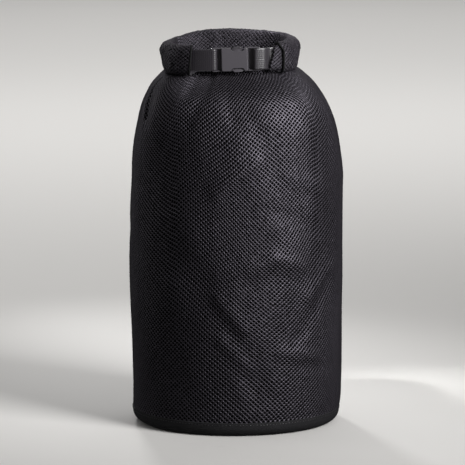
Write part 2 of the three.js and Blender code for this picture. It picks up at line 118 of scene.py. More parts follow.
# Slow waves in the slack cloth: waves around, height of a wave, phase, depth
WALL_WAVES = (
    (3, 330, 0.4, 0.6),
    (6, -210, 1.9, 0.6),
    (9, 150, 4.0, 0.55),
    (12, -120, 2.2, 0.4),
    (16, 95, 0.9, 0.25),
)
WAVE_FOOT = (16.0, 60.0)  # heights over which the waves set in
WAVE_TOP = (408.0, 360.0)  # heights over which they end
WAVE_MEAN = 0.65  # they are deeper at the front and the back than at the sides
WAVE_SWING = 0.35

# Ring that the rolled mouth follows, a rounded square seen from above
RING_X = -7.0
RING_Y = -4.0
RING_HALF_WIDTH = 72.2
RING_HALF_DEPTH = 70.0
RING_FRONT_EXPONENT = 3.0
RING_BACK_EXPONENT = 3.6
RING_HEIGHT = 431.0
RING_BACK_LIFT = 7.6
RING_SLOPE = 0.028  # the ring's front rises a little to the right
RING_BACK_SLOPE = -0.005
RING_STEP = 0.5  # degrees to each side of a place, for the ring's direction there
SETTLE_FROM = 300.0  # heights over which the round wall takes on the ring's outline
SETTLE_TO = 414.0
LIFT_FROM = 386.0  # below this height the wall keeps level all round

# Lips under the roll, and the slack floor of mesh inside the ring
LIP_DROP = 18.6
LIP_HALF_WIDTH = 4.7
LIP_SPAN = (0.7, -1.0)
LIP_CREST = 0.9
FRONT_RISE = 4.0
FRONT_FADE = (-3.0, 3.0)
FRONT_TUCK = 12.0  # how far the front lip lies back behind the straps
FRONT_TUCK_FADE = (-6.0, 16.0)
FRONT_TUCK_HEIGHTS = (384.0, 412.0)
FRONT_TUCK_LEFT = 0.15  # more of it under the left strap
FRONT_TUCK_LEFT_FADE = (5.0, -25.0)
FLOOR_REACH = np.array([0.0, 0.25, 0.55, 0.84, 0.937])
FLOOR_DROP = np.array([7.0, 6.5, 5.5, 3.5, 0.0])
FLOOR_FROM = 0.90  # share of the ring's radius at which the floor leaves the lips
FLOOR_NET_REACH = 0.86  # share to which the floor's own net runs out

# Points taken on the sack: degrees around, then points up the wall, over the lips and along the floor
BEARING_STEP = 0.5
WALL_STEPS = 220
LIP_STEPS = 8
FLOOR_STEPS = 30

# Roll: a band wound into a flat spiral
BAND = 2.2
ROLL_TURNS = 1.45
ROLL_HALF_THICKNESS = 8.0
ROLL_THICKNESS_PER_TURN = 3.2
ROLL_HALF_HEIGHT = 17.1
ROLL_HEIGHT_PER_TURN = 2.5
ROLL_SQUARENESS = np.array([2.6, 4.4, 3.5])  # for each half turn of the band
ROLL_RIGHT_END = 47.0
ROLL_LEFT_END = 325.0
ROLL_RIGHT_TUCK = 10.0
ROLL_LEFT_TUCK = -1.5
ROLL_SKEW = 2.3
ROLL_INNER = (0.75, 1.05)
ROLL_TAPER = 0.36
ROLL_TAPER_BEND = 0.25
ROLL_LEAN = 1.6
ROLL_TAPER_FADE = (24.0, 40.0)
ROLL_TILT = 3.0  # the roll's top slopes down and out
ROLL_TILT_MIDDLE = 0.33
ROLL_TILT_FADE = (3.0, 14.0)
# The right rim stands up and the back left corner sags: bearing, height, half width
ROLL_PEAKS = ((74, 2.4, 16), (232, -3.2, 18))
ROLL_PEAK_FADE = (-0.2, 1.0)
ROLL_INNER_SLANT = 2.0
ROLL_OUTER_SLANT = 4.0
ROLL_OUTER_SLANT_FADE = (0.35, 1.0)
ROLL_LEFT_SLANT = 1.0
# Creases across the roll: bearing, squeeze, half width in degrees
ROLL_CREASES = ((94, 0.13, 5), (277, 0.15, 5), (205, 0.04, 8))
# Smaller crumples of the same kind, left to the looks
ROLL_CRUMPLES = (
    (283, 0.12, 2.5),
    (292, -0.08, 2.0),
    (301, 0.10, 2.0),
    (309, -0.08, 1.8),
    (315, -0.10, 1.6),
    (319, 0.05, 1.5),
    (63, 0.06, 2.2),
    (74, 0.06, 2.4),
    (148, 0.02, 3.0),
    (176, 0.02, 3.0),
    (231, 0.55, 2.6),
    (256, 0.04, 2.6),
)
# Slow waves of the roll's outer layer: waves around, waves a turn, phase, depth
ROLL_WAVES = ((21, 1, 0.6, 0.3), (34, -2, 2.4, 0.22), (13, 2, 4.4, 0.3), (47, 3, 1.2, 0.14))
ROLL_WAVE_ENDS = (6.0, 20.0)  # degrees from the roll's ends over which the waves set in
ROLL_WAVE_START = (0.05, 0.2)  # turns over which they set in
ROLL_CALM = 0.75  # the inner face of the roll is drawn that much flatter
ROLL_CALM_FADE = (0.4, 0.6)
ROLL_STATIONS = 320
ROLL_STEPS = 260
TURN_STEP = 0.006

# Webbing
STRAP_WIDTH = 23.6
STRAP_THICKNESS = 1.7
STRAP_CORE = -1.15
STRAP_LAYER = 1.0
STRAP_RISE = -0.65
STRAP_TUCK = 12.0
STRAP_LEAD = 1.0
LEAD_POINTS = 9
LOOP_HALF_TURN = 110.0
LOOP_POINTS = 15
# The left loop is round, and the right one is pressed flat, longer and turned to follow the ring
LOOP_SQUARENESS = (2.3, 6.0)
LOOP_REACH = (0.0, 1.4)
LOOP_TILT = (0.0, 13.0)
STRAP_STEP = 0.4  # between points of the webbing's surface
STRAP_SMOOTH = 50.0
SELVEDGE_THINNER = 0.12
SELVEDGE_SQUARENESS = 24.0
WEAVE_COLUMN = STRAP_WIDTH / 10.0
WEAVE_ROW = 2.3
WEAVE_SHIFT = 0.12  # between the ribs of one column and the next
WEAVE_DEPTH = 0.2
WEAVE_FLATNESS = 0.3
WEAVE_FLOAT = 0.75  # share of the depth that comes and goes along a rib
# Bar tacks on the webbing: distance from its hidden end, stitches and rows
TACK_FROM = 20.0
TACK_STEP = 2.5
TACK_STITCHES = 4
TACK_ROW = 2.6
TACK_ROWS = 7
TACK_SIZE = (2.2, 0.6, 0.4)

# Buckle, in its own frame: X along the strap, Z across it, the face to -Y
BUCKLE_Y = -71.8
BUCKLE_HEIGHT = RING_HEIGHT + STRAP_RISE - RING_SLOPE * RING_X
BUCKLE_HALF_HEIGHT = 13.5
BUCKLE_THICKNESS = 10.6
BUCKLE_ROUND = 0.22
BUCKLE_SHARP = 40.0  # degrees past which its edges are softened
BUCKLE_SMOOTH = 18.0  # degrees up to which its faces are shaded as one
SOCKET_LEFT = -17.0
SOCKET_RIGHT = 13.6
SOCKET_CORNER = 2.0
SOCKET_EDGE = 1.3
CAVITY_LEFT = -12.5
CAVITY_HALF_THICKNESS = 3.4
CAVITY_HALF_HEIGHT = 10.6
CAVITY_PAST = 2.0
FRAME_HALF_HEIGHT = 13.8
FRAME_THICKNESS = 3.4
FRAME_LAP = 1.5
FRAME_ROUND = 0.9
FRAME_SHARP = 50.0
BAR_RADIUS = 1.8
LOOP_ROOM = 1.3
SLOT_LAP = 0.5
SLOT_CUT = 4.0
SOCKET_WEB = 4.4
PLUG_WEB = 5.6
SOCKET_WEB_Y = 1.2
PLUG_WEB_Y = 4.0
SLOT_WEB_THICKNESS = 0.8
SLOT_WEB_LAP = 0.4
SOCKET_BAR_X = -26.4
PLUG_BAR_X = 25.8
FLANGE = 0.5
FLANGE_HALF_THICKNESS = 4.6
FLANGE_ROUND = 0.2
PLUG_SHORT = 0.2  # the root and the guide stop short of the flange's outer face
ARM_HALF_THICKNESS = 2.9
ROOT_LENGTH = 3.4
ROOT_HALF_HEIGHT = 10.2
GUIDE_LEFT = -9.0
GUIDE_HALF_HEIGHT = 2.4
ARM_LEFT = -11.5
ARM_Z = (6.8, 9.3)
GRIP_LEFT = -5.0
GRIP_RIGHT = 8.4
GRIP_ROOT = 8.0
GRIP_TOP = 14.4
GRIP_FACE = -0.6
GRIP_SLOPE = 4.4  # the grips' outer ends stand forward by this much
GRIP_CORNER = 4.2
GRIP_EDGE = 0.7
GRIP_EDGE_FROM = GRIP_TOP - 4.5
WINDOW_Z = (9.6, 17.0)
WINDOW_CUT = 8.0
WINDOW_CORNER = 3.6
WINDOW_LEFT_ROOM = 0.8
WINDOW_RIGHT_ROOM = 1.6
DISH_RADIUS = 14.0
DISH_X = 1.7
DISH_Z = 15.0
DISH_AWAY = 12.9

# Base cloth and its seam
BASE_SIDES = 160
BASE_YARN = 0.6
BASE_LAP = 2.2  # the base's edge laps up over the foot of the mesh
BASE_FLARE = 0.9
BASE_EDGE = 0.6
BASE_SHARP = 60.0
BASE_SMOOTH = 40.0
STITCH_STEP = 4.0
STITCH_SIZE = (2.7, 0.7, 0.5)
STITCH_OUT = 0.35 * BASE_FLARE
STITCH_HEIGHT = BASE_SEAM - 0.4

# Net: distance between holes along a row, and between staggered rows
NET_COLUMN = 5.9
NET_ROW = 2.45
NET_STEPS = 460
NET_END = 0.80  # share of the ring's radius to which the wall's net runs in along the floor
SACK_FRONT = 85.0  # the net is cut into pieces at this bearing on each side, and at the back
NET_DEPTH = 0.75  # from the crest of a yarn to the edge of a hole
# Waves that draw the net out of square: waves around, radians up, phase, share
NET_SIDEWAYS = ((2, 5.0, 0.0, 1.0), (3, -9.0, 1.0, 0.6))
NET_UPWARDS = ((2, 3.0, 2.0, 1.0), (5, 7.0, 0.0, 0.7))
NET_DRIFT = (0.9, 1.6)  # in columns and rows
# A cell of the net: its corners lie on the yarns around one hole, in columns and rows from the hole's middle
CELL = np.array([(0.5, 0.0), (0.25, 0.5), (0.0, 1.0), (-0.25, 0.5),
                 (-0.5, 0.0), (-0.25, -0.5), (0.0, -1.0), (0.25, -0.5)])
HOLE = CELL * np.tile([0.50, 0.68, 0.55, 0.68], 2)[:, None]
KNOT_LIFT = np.tile([0.16, 0.0], 4)
YARN_STRAY = np.array([0.03, 0.05])
LIFT_STRAY = 0.06
HOLE_STRAY = 0.06
YARN_PALENESS = (0.55, 1.0)  # drawn for each crest, and 0 at the edge of a hole, where the mesh material paints shade

# Dense inner face of the knit, behind the sack's net, finished near-black as painted shade for the holes
INNER_FACE_AT = -1.3
FACE_STEPS = 200
FACE_EVERY = 4
FACE_GRID = (180, 130)
FACE_END = 0.995

# Collar: two layers of finer net, an inner face and hems
COLLAR_STEPS = 300
COLLAR_LAYER = 1.0  # from the collar's outer layer of net to the one that shows through it
COLLAR_CLOSER = 0.6  # the layers lie that much closer on the inner face of the roll
COLLAR_CLOSER_FADE = (0.30, 0.40)
COLLAR_COLUMN = 5.2
COLLAR_ROW = 2.15
COLLAR_START = 0.25  # the net begins this share of a column in
COLLAR_TUCKED = (0.66, 0.72)  # share of the band's length from which it is tucked in, and painted darker as shade
COLLAR_TUCKED_PAINTED_SHADE = 0.6
COLLAR_INSIDE = (0.36, 0.42)  # share from which it faces into the ring
COLLAR_LEFT = (0.38, 0.62)  # share of the ring over which its inside is painted darker to the left, as shade
COLLAR_LEFT_PAINTED_SHADE = 0.4
COLLAR_STRAY = 2.0  # the rolled net is that much less even
COLLAR_FACE_GRID = (160, 110)
COLLAR_FACE_BEHIND = 0.1
FACE_SHORT = 2.0  # the inner face stops short of the roll's ends
HEM_WIDTH = 1.3
HEM_TURN = 0.74  # share of the band's length that lies outside on the roll
HEM_GRID = (4, 150)
HEM_LIFT = 0.2
HEM_TUCK = 0.1

# Camera: level with the photo's view, from far off with a long lens
PHOTO_SIZE = 465.0
MM_PER_PIXEL = 1.174
CAMERA_DISTANCE = 4000.0
CAMERA_ELEVATION = 7.8
CAMERA_CLIP = 100.0
AIM = Vector((-4.1, 0.0, 220.6))
SENSOR = 36.0

# Stage, in metres and watts: name, place, aim, size, power and spread in degrees of each lamp
LAMPS = (
    ("key_softbox", (0.95, -0.95, 0.88), (0.0, 0.0, 0.28), 0.65, 3.95, 60),
    ("left_softbox", (-1.4, 0.3, 0.9), (0.0, 0.0, 0.35), 0.7, 0.35, 60),
    ("mouth_softbox", (-0.20, -0.20, 1.10), (0.05, 0.045, 0.44), 0.06, 0.04, 14),
    # The back light stands low, so that the roll keeps it off the buckle and the straps
    ("back_softbox", (-0.3, 1.5, 0.48), (0.0, 0.0, 0.30), 0.18, 1.5, 60),
    ("near_floor_softbox", (0.0, 2.3, 2.4), (0.0, 2.3, 0.0), 3.4, 22.0, 110),
    ("far_floor_softbox", (0.0, 5.6, 3.4), (0.0, 5.6, 0.0), 6.0, 90.0, 120),
)
FLOOR_SIZE = 30.0
FLOOR_HEIGHT = -0.0004  # just under the base
SKY_STRENGTH = 0.06


# Small helpers

def smoothstep(low, high, value):
    t = np.clip((value - low) / (high - low), 0.0, 1.0)
    return t * t * (3.0 - 2.0 * t)


def bell(away):
    return np.exp(-away * away)


def unit(vectors):
    return vectors / np.maximum(np.linalg.norm(vectors, axis=-1, keepdims=True), TINY)


def hermite(x, knots, values):
    """Smooth curve through the values at the knots."""
    slopes = np.gradient(values, knots)
    i = np.clip(np.searchsorted(knots, x) - 1, 0, len(knots) - 2)
    span = knots[i + 1] - knots[i]
    t = np.clip((x - knots[i]) / span, 0.0, 1.0)
    start = (2.0 * t ** 3 - 3.0 * t ** 2 + 1.0) * values[i] + (t ** 3 - 2.0 * t ** 2 + t) * span * slopes[i]
    end = (3.0 * t ** 2 - 2.0 * t ** 3) * values[i + 1] + (t ** 3 - t ** 2) * span * slopes[i + 1]
    return start + end


def squared(value, exponent):
    return np.sign(value) * np.abs(value) ** (2.0 / exponent)


def turn_between(bearing, other):
    return (bearing - other + 180.0) % 360.0 - 180.0


def direction(bearing):
    """How far a bearing from the front goes to the right and to the back."""
    return np.sin(np.radians(bearing)), -np.cos(np.radians(bearing))


def grid(first, second):
    return np.meshgrid(first, second, indexing="ij")


def even_count(length, step):
    return 2 * round(length / step / 2.0)


# Ring that the mouth follows

def ring_radius(bearing):
    x, y = direction(bearing)
    exponent = np.where(y < 0.0, RING_FRONT_EXPONENT, RING_BACK_EXPONENT)
    across = np.abs(x / RING_HALF_WIDTH) ** exponent
    along = np.abs(y / RING_HALF_DEPTH) ** exponent
    return (across + along) ** (-1.0 / exponent)


def ring_lift(bearing):
    x, y = direction(bearing)
    back = np.maximum(y, 0.0) ** 2
    slope = RING_SLOPE + (RING_BACK_SLOPE - RING_SLOPE) * back
    return RING_BACK_LIFT * back + slope * ring_radius(bearing) * x


def ring_point(bearing):
    x, y = direction(bearing)
    radius = ring_radius(bearing)
    return np.stack([RING_X + radius * x, RING_Y + radius * y, RING_HEIGHT + ring_lift(bearing)], axis=-1)


def ring_offset(bearing, outward, upward):
    """Point beside the ring: so far out of it, level, and so far up."""
    along = ring_point(bearing + RING_STEP) - ring_point(bearing - RING_STEP)
    normal = unit(np.stack([along[..., 1], -along[..., 0], np.zeros_like(along[..., 0])], axis=-1))
    point = ring_point(bearing) + normal * np.asarray(outward)[..., None]
    point[..., 2] += upward
    return point


def under_roll(bearing, fade):
    bearing = bearing % 360.0
    return smoothstep(*fade, bearing - ROLL_RIGHT_END) * smoothstep(*fade, ROLL_LEFT_END - bearing)


def front_tuck(bearing):
    left = FRONT_TUCK_LEFT * smoothstep(*FRONT_TUCK_LEFT_FADE, turn_between(bearing, 0.0))
    return FRONT_TUCK * (1.0 + left) * (1.0 - under_roll(bearing, FRONT_TUCK_FADE))


def lip_drop(bearing):
    return LIP_DROP - FRONT_RISE * (1.0 - under_roll(bearing, FRONT_FADE))


# Surfaces: a grid of points with normals, read smoothly at any place on it

class Surface:
    def __init__(self, points, wraps):
        self.points = points
        self.wraps = wraps
        along_u = np.gradient(points, axis=0)
        if wraps:
            along_u = (np.roll(points, -1, axis=0) - np.roll(points, 1, axis=0)) / 2.0
        self.normals = unit(np.cross(along_u, np.gradient(points, axis=1)))

    def at(self, u, v, lift):
        """Points at u and v from 0 to 1, lifted off the surface."""
        count_u, count_v = self.points.shape[:2]
        place_u = u * count_u if self.wraps else np.clip(u, 0.0, 1.0) * (count_u - 1)
        place_v = np.clip(v, 0.0, 1.0) * (count_v - 1)
        i = np.floor(place_u).astype(int)
        j = np.minimum(np.floor(place_v).astype(int), count_v - 2)
        if not self.wraps:
            i = np.minimum(i, count_u - 2)
        part_u = (place_u - i)[..., None]
        part_v = (place_v - j)[..., None]
        near = i % count_u
        far = (i + 1) % count_u

        def blend(values):
            low = values[near, j] * (1.0 - part_u) + values[far, j] * part_u
            high = values[near, j + 1] * (1.0 - part_u) + values[far, j + 1] * part_u
            return low * (1.0 - part_v) + high * part_v

        return blend(self.points) + blend(self.normals) * np.asarray(lift)[..., None]


def even_spacing(lines, count):
    """Each line of points read again at even steps along its length, and the mean length."""
    steps = np.linalg.norm(np.diff(lines, axis=1), axis=-1)
    lengths = np.concatenate([np.zeros((len(lines), 1)), np.cumsum(steps, axis=1)], axis=1)
    even = np.empty((len(lines), count, 3))
    for k, (line, length) in enumerate(zip(lines, lengths)):
        wanted = np.linspace(0.0, length[-1], count)
        for axis in range(3):
            even[k, :, axis] = np.interp(wanted, length, line[:, axis])
    return even, float(np.mean(lengths[:, -1]))


def fold_depth(bearing, height, radius):
    depth = 0.0
    for fold_bearing, bottom, top, deep, half_width in SHOULDER_FOLDS:
        away = np.radians(turn_between(bearing, fold_bearing)) * radius / half_width
        along = np.clip((height - bottom) / (top - bottom), 0.0, 1.0)
        depth = depth + deep * bell(away) * np.sin(np.pi * along) ** 2
    return depth


def crease_depth(bearing, height):
    """Depth of the soft creases and waves, measured on the wall laid out flat."""
    reach = WALL_SECTIONS[:, 1].max()
    depth = 0.0
    for start_bearing, start_height, end_bearing, end_height, deep, half_width in WALL_CREASES:
        across = np.radians(turn_between(bearing, start_bearing)) * reach
        up = height - start_height
        run = math.radians(end_bearing - start_bearing) * reach
        rise = end_height - start_height
        along = np.clip((across * run + up * rise) / (run * run + rise * rise), 0.0, 1.0)
        away = np.hypot(across - along * run, up - along * rise) / half_width
        depth = depth + deep * bell(away)
    fade = smoothstep(*WAVE_FOOT, height) * smoothstep(*WAVE_TOP, height)
    fade = fade * (WAVE_MEAN + WAVE_SWING * np.cos(2.0 * np.radians(bearing)))
    for around, wave_height, phase, deep in WALL_WAVES:
        wave = np.sin(np.radians(bearing) * around + 2.0 * np.pi * height / wave_height + phase)
        depth = depth + deep * fade * wave
    return depth


def wall_points(bearing, height):
    settle = smoothstep(SETTLE_FROM, SETTLE_TO, height)
    half_width = hermite(height, WALL_SECTIONS[:, 0], WALL_SECTIONS[:, 1])
    lean = hermite(height, WALL_SECTIONS[:, 0], WALL_SECTIONS[:, 2])
    outline = 1.0 + (ring_radius(bearing) / RING_HALF_WIDTH - 1.0) * settle
    radius = half_width * outline - fold_depth(bearing, height, half_width) - crease_depth(bearing, height)
    radius = radius - front_tuck(bearing) * smoothstep(*FRONT_TUCK_HEIGHTS, height)
    x, y = direction(bearing)
    lifted = ring_lift(bearing) * smoothstep(LIFT_FROM, SETTLE_TO, height)
    return np.stack([lean + radius * x, RING_Y * settle + radius * y, height + lifted], axis=-1)


def floor_height(bearing, reach):
    flat = RING_HEIGHT - LIP_DROP
    lip = RING_HEIGHT + ring_lift(bearing) - lip_drop(bearing)
    return flat + (lip - flat) * reach ** 2 - hermite(reach, FLOOR_REACH, FLOOR_DROP)


def floor_points(bearing, reach):
    rim = ring_point(bearing)
    x = RING_X + (rim[..., 0] - RING_X) * reach
    y = RING_Y + (rim[..., 1] - RING_Y) * reach
    return np.stack([x, y, floor_height(bearing, reach)], axis=-1)


def sack_lines(last_reach):
    """Lines from the base seam up the wall, over the lips and in along the floor, one for each bearing."""
    bearing = np.arange(0.0, 360.0, BEARING_STEP)[:, None]
    heights = np.linspace(WALL_SECTIONS[0, 0], WALL_SECTIONS[-1, 0], WALL_STEPS)[None, :]
    wall = wall_points(bearing, heights)
    across = np.linspace(*LIP_SPAN, LIP_STEPS)[None, :]
    crest = LIP_CREST * (1.0 - across ** 2)
    spread = np.broadcast_to(bearing, (len(bearing), LIP_STEPS))
    lips = ring_offset(spread, across * LIP_HALF_WIDTH - front_tuck(spread), crest - lip_drop(spread))
    spread = np.broadcast_to(bearing, (len(bearing), FLOOR_STEPS))
    reach = np.linspace(FLOOR_FROM, last_reach, FLOOR_STEPS)[None, :]
    floor = floor_points(spread, reach * (1.0 - front_tuck(spread) / RING_HALF_DEPTH))
    return np.concatenate([wall, lips, floor], axis=1)


def roll_squareness(turn):
    half_turn = np.clip(np.floor(2.0 * turn), 0, len(ROLL_SQUARENESS) - 1)
    return ROLL_SQUARENESS[half_turn.astype(int)]


def roll_rise(turn):
    """Height on the roll's section, from -1 at its bottom to 1 at its top."""
    return squared(np.sin(2.0 * np.pi * turn - np.pi / 2.0), roll_squareness(turn))


def roll_line(turn, squeeze, spread, tilt):
    """Middle line of the wound band: out of the ring, and up."""
    rise = roll_rise(turn)
    bend = (1.0 - ROLL_TAPER_BEND) * rise + ROLL_TAPER_BEND * rise * rise
    widening = 1.0 + ROLL_TAPER * spread * bend
    half_thickness = (ROLL_HALF_THICKNESS - ROLL_THICKNESS_PER_TURN * turn) * squeeze * widening
    half_height = ROLL_HALF_HEIGHT - ROLL_HEIGHT_PER_TURN * turn
    across = squared(np.cos(2.0 * np.pi * turn - np.pi / 2.0), roll_squareness(turn))
    lowered = tilt * smoothstep(0.0, 1.0, rise) * (across + ROLL_TILT_MIDDLE)
    out = half_thickness * across + ROLL_LEAN * spread * rise
    return np.stack([out, half_height * rise - lowered], axis=-1)


def roll_surface(side):
    """One face of the wound band: u along the ring from the right end, v along the band from the lips."""
    stations = np.linspace(0.0, 1.0, ROLL_STATIONS)[:, None]
    turn = np.linspace(0.0, ROLL_TURNS, ROLL_STEPS)[None, :]
    inner = smoothstep(*ROLL_INNER, turn)
    rise = roll_rise(turn)
    skew = ROLL_SKEW * roll_line(turn, 1.0, 0.0, 0.0)[..., 0] / ROLL_HALF_THICKNESS
    outer_slant = ROLL_OUTER_SLANT * (1.0 - inner) * smoothstep(*ROLL_OUTER_SLANT_FADE, rise)
    slant = ROLL_INNER_SLANT * inner * rise - outer_slant
    start = ROLL_RIGHT_END - ROLL_RIGHT_TUCK * inner - skew + slant
    end = ROLL_LEFT_END + ROLL_LEFT_TUCK * inner + skew + ROLL_LEFT_SLANT * rise
    bearing = start + (end - start) * stations
    squeeze = 1.0
    for crease_bearing, deep, half_width in ROLL_CREASES + ROLL_CRUMPLES:
        squeeze = squeeze - deep * bell((bearing - crease_bearing) / half_width)
    form = (squeeze, under_roll(bearing, ROLL_TAPER_FADE), ROLL_TILT * under_roll(bearing, ROLL_TILT_FADE))
    turns = np.broadcast_to(turn, bearing.shape)
    along = unit(roll_line(turns + TURN_STEP, *form) - roll_line(turns - TURN_STEP, *form))
    section = roll_line(turns, *form)
    slack = 0.0
    for around, wound, phase, deep in ROLL_WAVES:
        slack = slack + deep * np.sin(np.radians(bearing) * around + 2.0 * np.pi * wound * turns + phase)
    calm = 1.0 - ROLL_CALM * smoothstep(*ROLL_CALM_FADE, turns)
    slack = slack * calm * under_roll(bearing, ROLL_WAVE_ENDS)
    slack = slack * smoothstep(*ROLL_WAVE_START, turns) * (turns < 1.0)
    out = section[..., 0] + along[..., 1] * (side * BAND / 2.0 + slack)
    up = section[..., 1] - along[..., 0] * (side * BAND / 2.0 + slack)
    for peak_bearing, high, half_width in ROLL_PEAKS:
        peak = high * bell((bearing - peak_bearing) / half_width)
        up = up + peak * smoothstep(*ROLL_PEAK_FADE, rise)
    return ring_offset(bearing, out, up)


# Meshes from arrays

def new_piece(name, points_mm, quads, replaced, material, uv=None, strand=None, normals=None):
    """A piece from points in millimetres and faces of four corners, with its map, yarn height and normals."""
    mesh = bpy.data.meshes.new(name)
    mesh.vertices.add(len(points_mm))
    mesh.vertices.foreach_set("co", (np.asarray(points_mm) * MM).astype(np.float32).ravel())
    corners = np.asarray(quads, dtype=np.int32)
    mesh.loops.add(corners.size)
    mesh.loops.foreach_set("vertex_index", corners.ravel())
    mesh.polygons.add(len(corners))
    mesh.polygons.foreach_set("loop_start", np.arange(0, corners.size, corners.shape[1], dtype=np.int32))
    mesh.polygons.foreach_set("use_smooth", np.full(len(corners), True))
    if uv is not None:
        layer = mesh.uv_layers.new(name="OFBake")
        layer.data.foreach_set("uv", np.asarray(uv, dtype=np.float32).ravel())
    if strand is not None:
        attribute = mesh.attributes.new("strand", "FLOAT", "POINT")
        attribute.data.foreach_set("value", np.asarray(strand, dtype=np.float32))
    mesh.update(calc_edges=True)
    mesh.validate()
    if normals is not None:
        mesh.normals_split_custom_set_from_vertices(normals.tolist())
    piece = bpy.data.objects.new(name, mesh)
    bpy.context.scene.collection.objects.link(piece)
    declare(piece, replaced, material)
    return piece


def declare(piece, replaced, material):
    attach(piece, "root")
    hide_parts(replaced)
    piece.data.materials.append(material)


def net_cells(columns, rows):
    """Middles of the holes, in columns and rows: every other row is set half a column over."""
    i, j = np.meshgrid(np.arange(columns), np.arange(1, rows), indexing="xy")
    return np.stack([(i + 0.5 * (j % 2)).ravel(), j.ravel().astype(float)], axis=-1)


def quad_ball():
    """Points and faces of a unit ball: a cube of four squares to a side, rounded."""
    corners = []
    for axis in range(3):
        for side in (-1.0, 1.0):
            for a, b in ((-1.0, -1.0), (0.0, -1.0), (0.0, 0.0), (-1.0, 0.0)):
                square = [(a, b), (a + 1.0, b), (a + 1.0, b + 1.0), (a, b + 1.0)]
                turned = square[::-1] if (side < 0.0) != (axis == 1) else square
                corners.extend(np.insert(np.array(pair), axis, side) for pair in turned)
    points, index = np.unique(np.array(corners), axis=0, return_inverse=True)
    return unit(points), index.reshape(-1, 4)


def make_stitches(name, middles, along, outward, size, replaced, material):
    """Short rounded stitches at the given middles, each lying along its thread on the cloth's outer face."""
    ball, faces = quad_ball()
    along = unit(along)
    outward = unit(outward)
    axes = np.stack([along, np.cross(outward, along), outward], axis=1)
    points = middles[:, None, :] + np.einsum("pk,skc->spc", ball * np.array(size) / 2.0, axes)
    quads = faces[None, :, :] + len(ball) * np.arange(len(middles))[:, None, None]
    new_piece(name, points.reshape(-1, 3), quads.reshape(-1, 4), replaced, material)


def net_mesh(cells, columns, rows, place, wraps, stray=1.0):
    """Points, faces, map and yarn heights of the net over the given cells, each a little irregular."""
    random = np.random.default_rng(len(cells))
    corners = cells[:, None, :] + CELL[None, :, :]
    # Corners lie at quarters of a column and halves of a row, and neighbouring cells share them
    codes = np.rint(corners * np.array([4.0, 2.0])).astype(np.int64)
    if wraps:
        codes[..., 0] %= 4 * columns
    keys = codes[..., 0] * (4 * rows + 8) + codes[..., 1]
    unique, first, index = np.unique(keys.ravel(), return_index=True, return_inverse=True)
    index = index.reshape(keys.shape)
    yarn = corners.reshape(-1, 2)[first]
    lift = np.broadcast_to(KNOT_LIFT, keys.shape).ravel()[first]
    yarn = yarn + random.normal(0.0, stray, yarn.shape) * YARN_STRAY
    lift = lift + random.normal(0.0, LIFT_STRAY * stray, len(lift))
    opened = random.normal(1.0, HOLE_STRAY * stray, (len(cells), 1, 1))
    hole = (cells[:, None, :] + HOLE[None, :, :] * opened).reshape(-1, 2)
    hole_index = len(unique) + np.arange(len(hole)).reshape(-1, len(HOLE))
    flat = np.concatenate([yarn, hole])
    lifts = np.concatenate([lift, np.full(len(hole), -NET_DEPTH)])
    points = place(flat[:, 0] / columns, flat[:, 1] / rows, lifts)
    ahead = np.roll(np.arange(len(CELL)), -1)
    quads = np.stack([index, index[:, ahead], hole_index[:, ahead], hole_index], axis=-1).reshape(-1, 4)
    corner_pair = np.stack([corners, corners[:, ahead]], axis=2)
    hole_flat = cells[:, None, :] + HOLE[None, :, :]
    hole_pair = np.stack([hole_flat[:, ahead], hole_flat], axis=2)
    uv = np.concatenate([corner_pair, hole_pair], axis=2).reshape(-1, 2) / np.array([columns, rows])
    # Crests get a tone drawn at random, and the edges of the holes get 0, which the material paints dark as
    # shade
    strand = np.concatenate([random.uniform(*YARN_PALENESS, len(unique)), np.zeros(len(hole))])
    return points, quads, uv, strand


def smooth_normals(points, quads):
    """Normals at the points, each the mean of the faces around it."""
    corners = points[quads]
    faces = np.cross(corners[:, 2] - corners[:, 0], corners[:, 3] - corners[:, 1])
    normals = np.zeros_like(points)
    for k in range(4):
        np.add.at(normals, quads[:, k], faces)
    return unit(normals)


def net_part(net, normals, chosen):
    """The faces of the chosen cells of a net, with only the points that they use, shaded as in the whole."""
    points, quads, uv, strand = net
    faces = np.repeat(chosen, len(CELL))
    used, index = np.unique(quads[faces], return_inverse=True)
    part_uv = uv.reshape(-1, 4, 2)[faces].reshape(-1, 2)
    return points[used], index.reshape(-1, 4), part_uv, strand[used], normals[used]


def thin_wall(outer, inner, wraps):
    """Points and faces of a closed wall between two grids of points of the same size."""
    count_u, count_v = outer.shape[:2]
    points = np.concatenate([outer.reshape(-1, 3), inner.reshape(-1, 3)])
    offset = count_u * count_v
    cells_u = count_u if wraps else count_u - 1
    i, j = grid(np.arange(cells_u), np.arange(count_v - 1))
    here = (i * count_v + j).ravel()
    there = (((i + 1) % count_u) * count_v + j).ravel()
    out = np.stack([here, there, there + 1, here + 1], axis=-1)
    quads = [out, out[:, ::-1] + offset]
    along = np.arange(cells_u)
    across = np.arange(count_v - 1)
    edges = []
    for j_edge, flip in ((0, False), (count_v - 1, True)):
        edges.append((along * count_v + j_edge, ((along + 1) % count_u) * count_v + j_edge, flip))
    if not wraps:
        for i_edge, flip in ((0, True), (count_u - 1, False)):
            edges.append((i_edge * count_v + across, i_edge * count_v + across + 1, flip))
    for a, b, flip in edges:
        edge = np.stack([a, a + offset, b + offset, b], axis=-1)
        quads.append(edge[:, ::-1] if flip else edge)
    return points, np.concatenate(quads)


# Colours and materials

GRAIN_STRENGTH = 0.6


def linear(hex_colour):
    channels = [int(hex_colour[k:k + 2], 16) / 255.0 for k in (1, 3, 5)]
    return tuple(c / 12.92 if c <= 0.04045 else ((c + 0.055) / 1.055) ** 2.4 for c in channels) + (1.0,)


def add(tree, kind, values=None, links=None, **settings):
    """A node with its settings, its socket values and the links that come into it."""
    made = tree.nodes.new(kind)
    for name, value in settings.items():
        setattr(made, name, value)
    for socket, value in (values or {}).items():
        made.inputs[socket].default_value = value
    for socket, source in (links or {}).items():
        tree.links.new(source, made.inputs[socket])
    return made


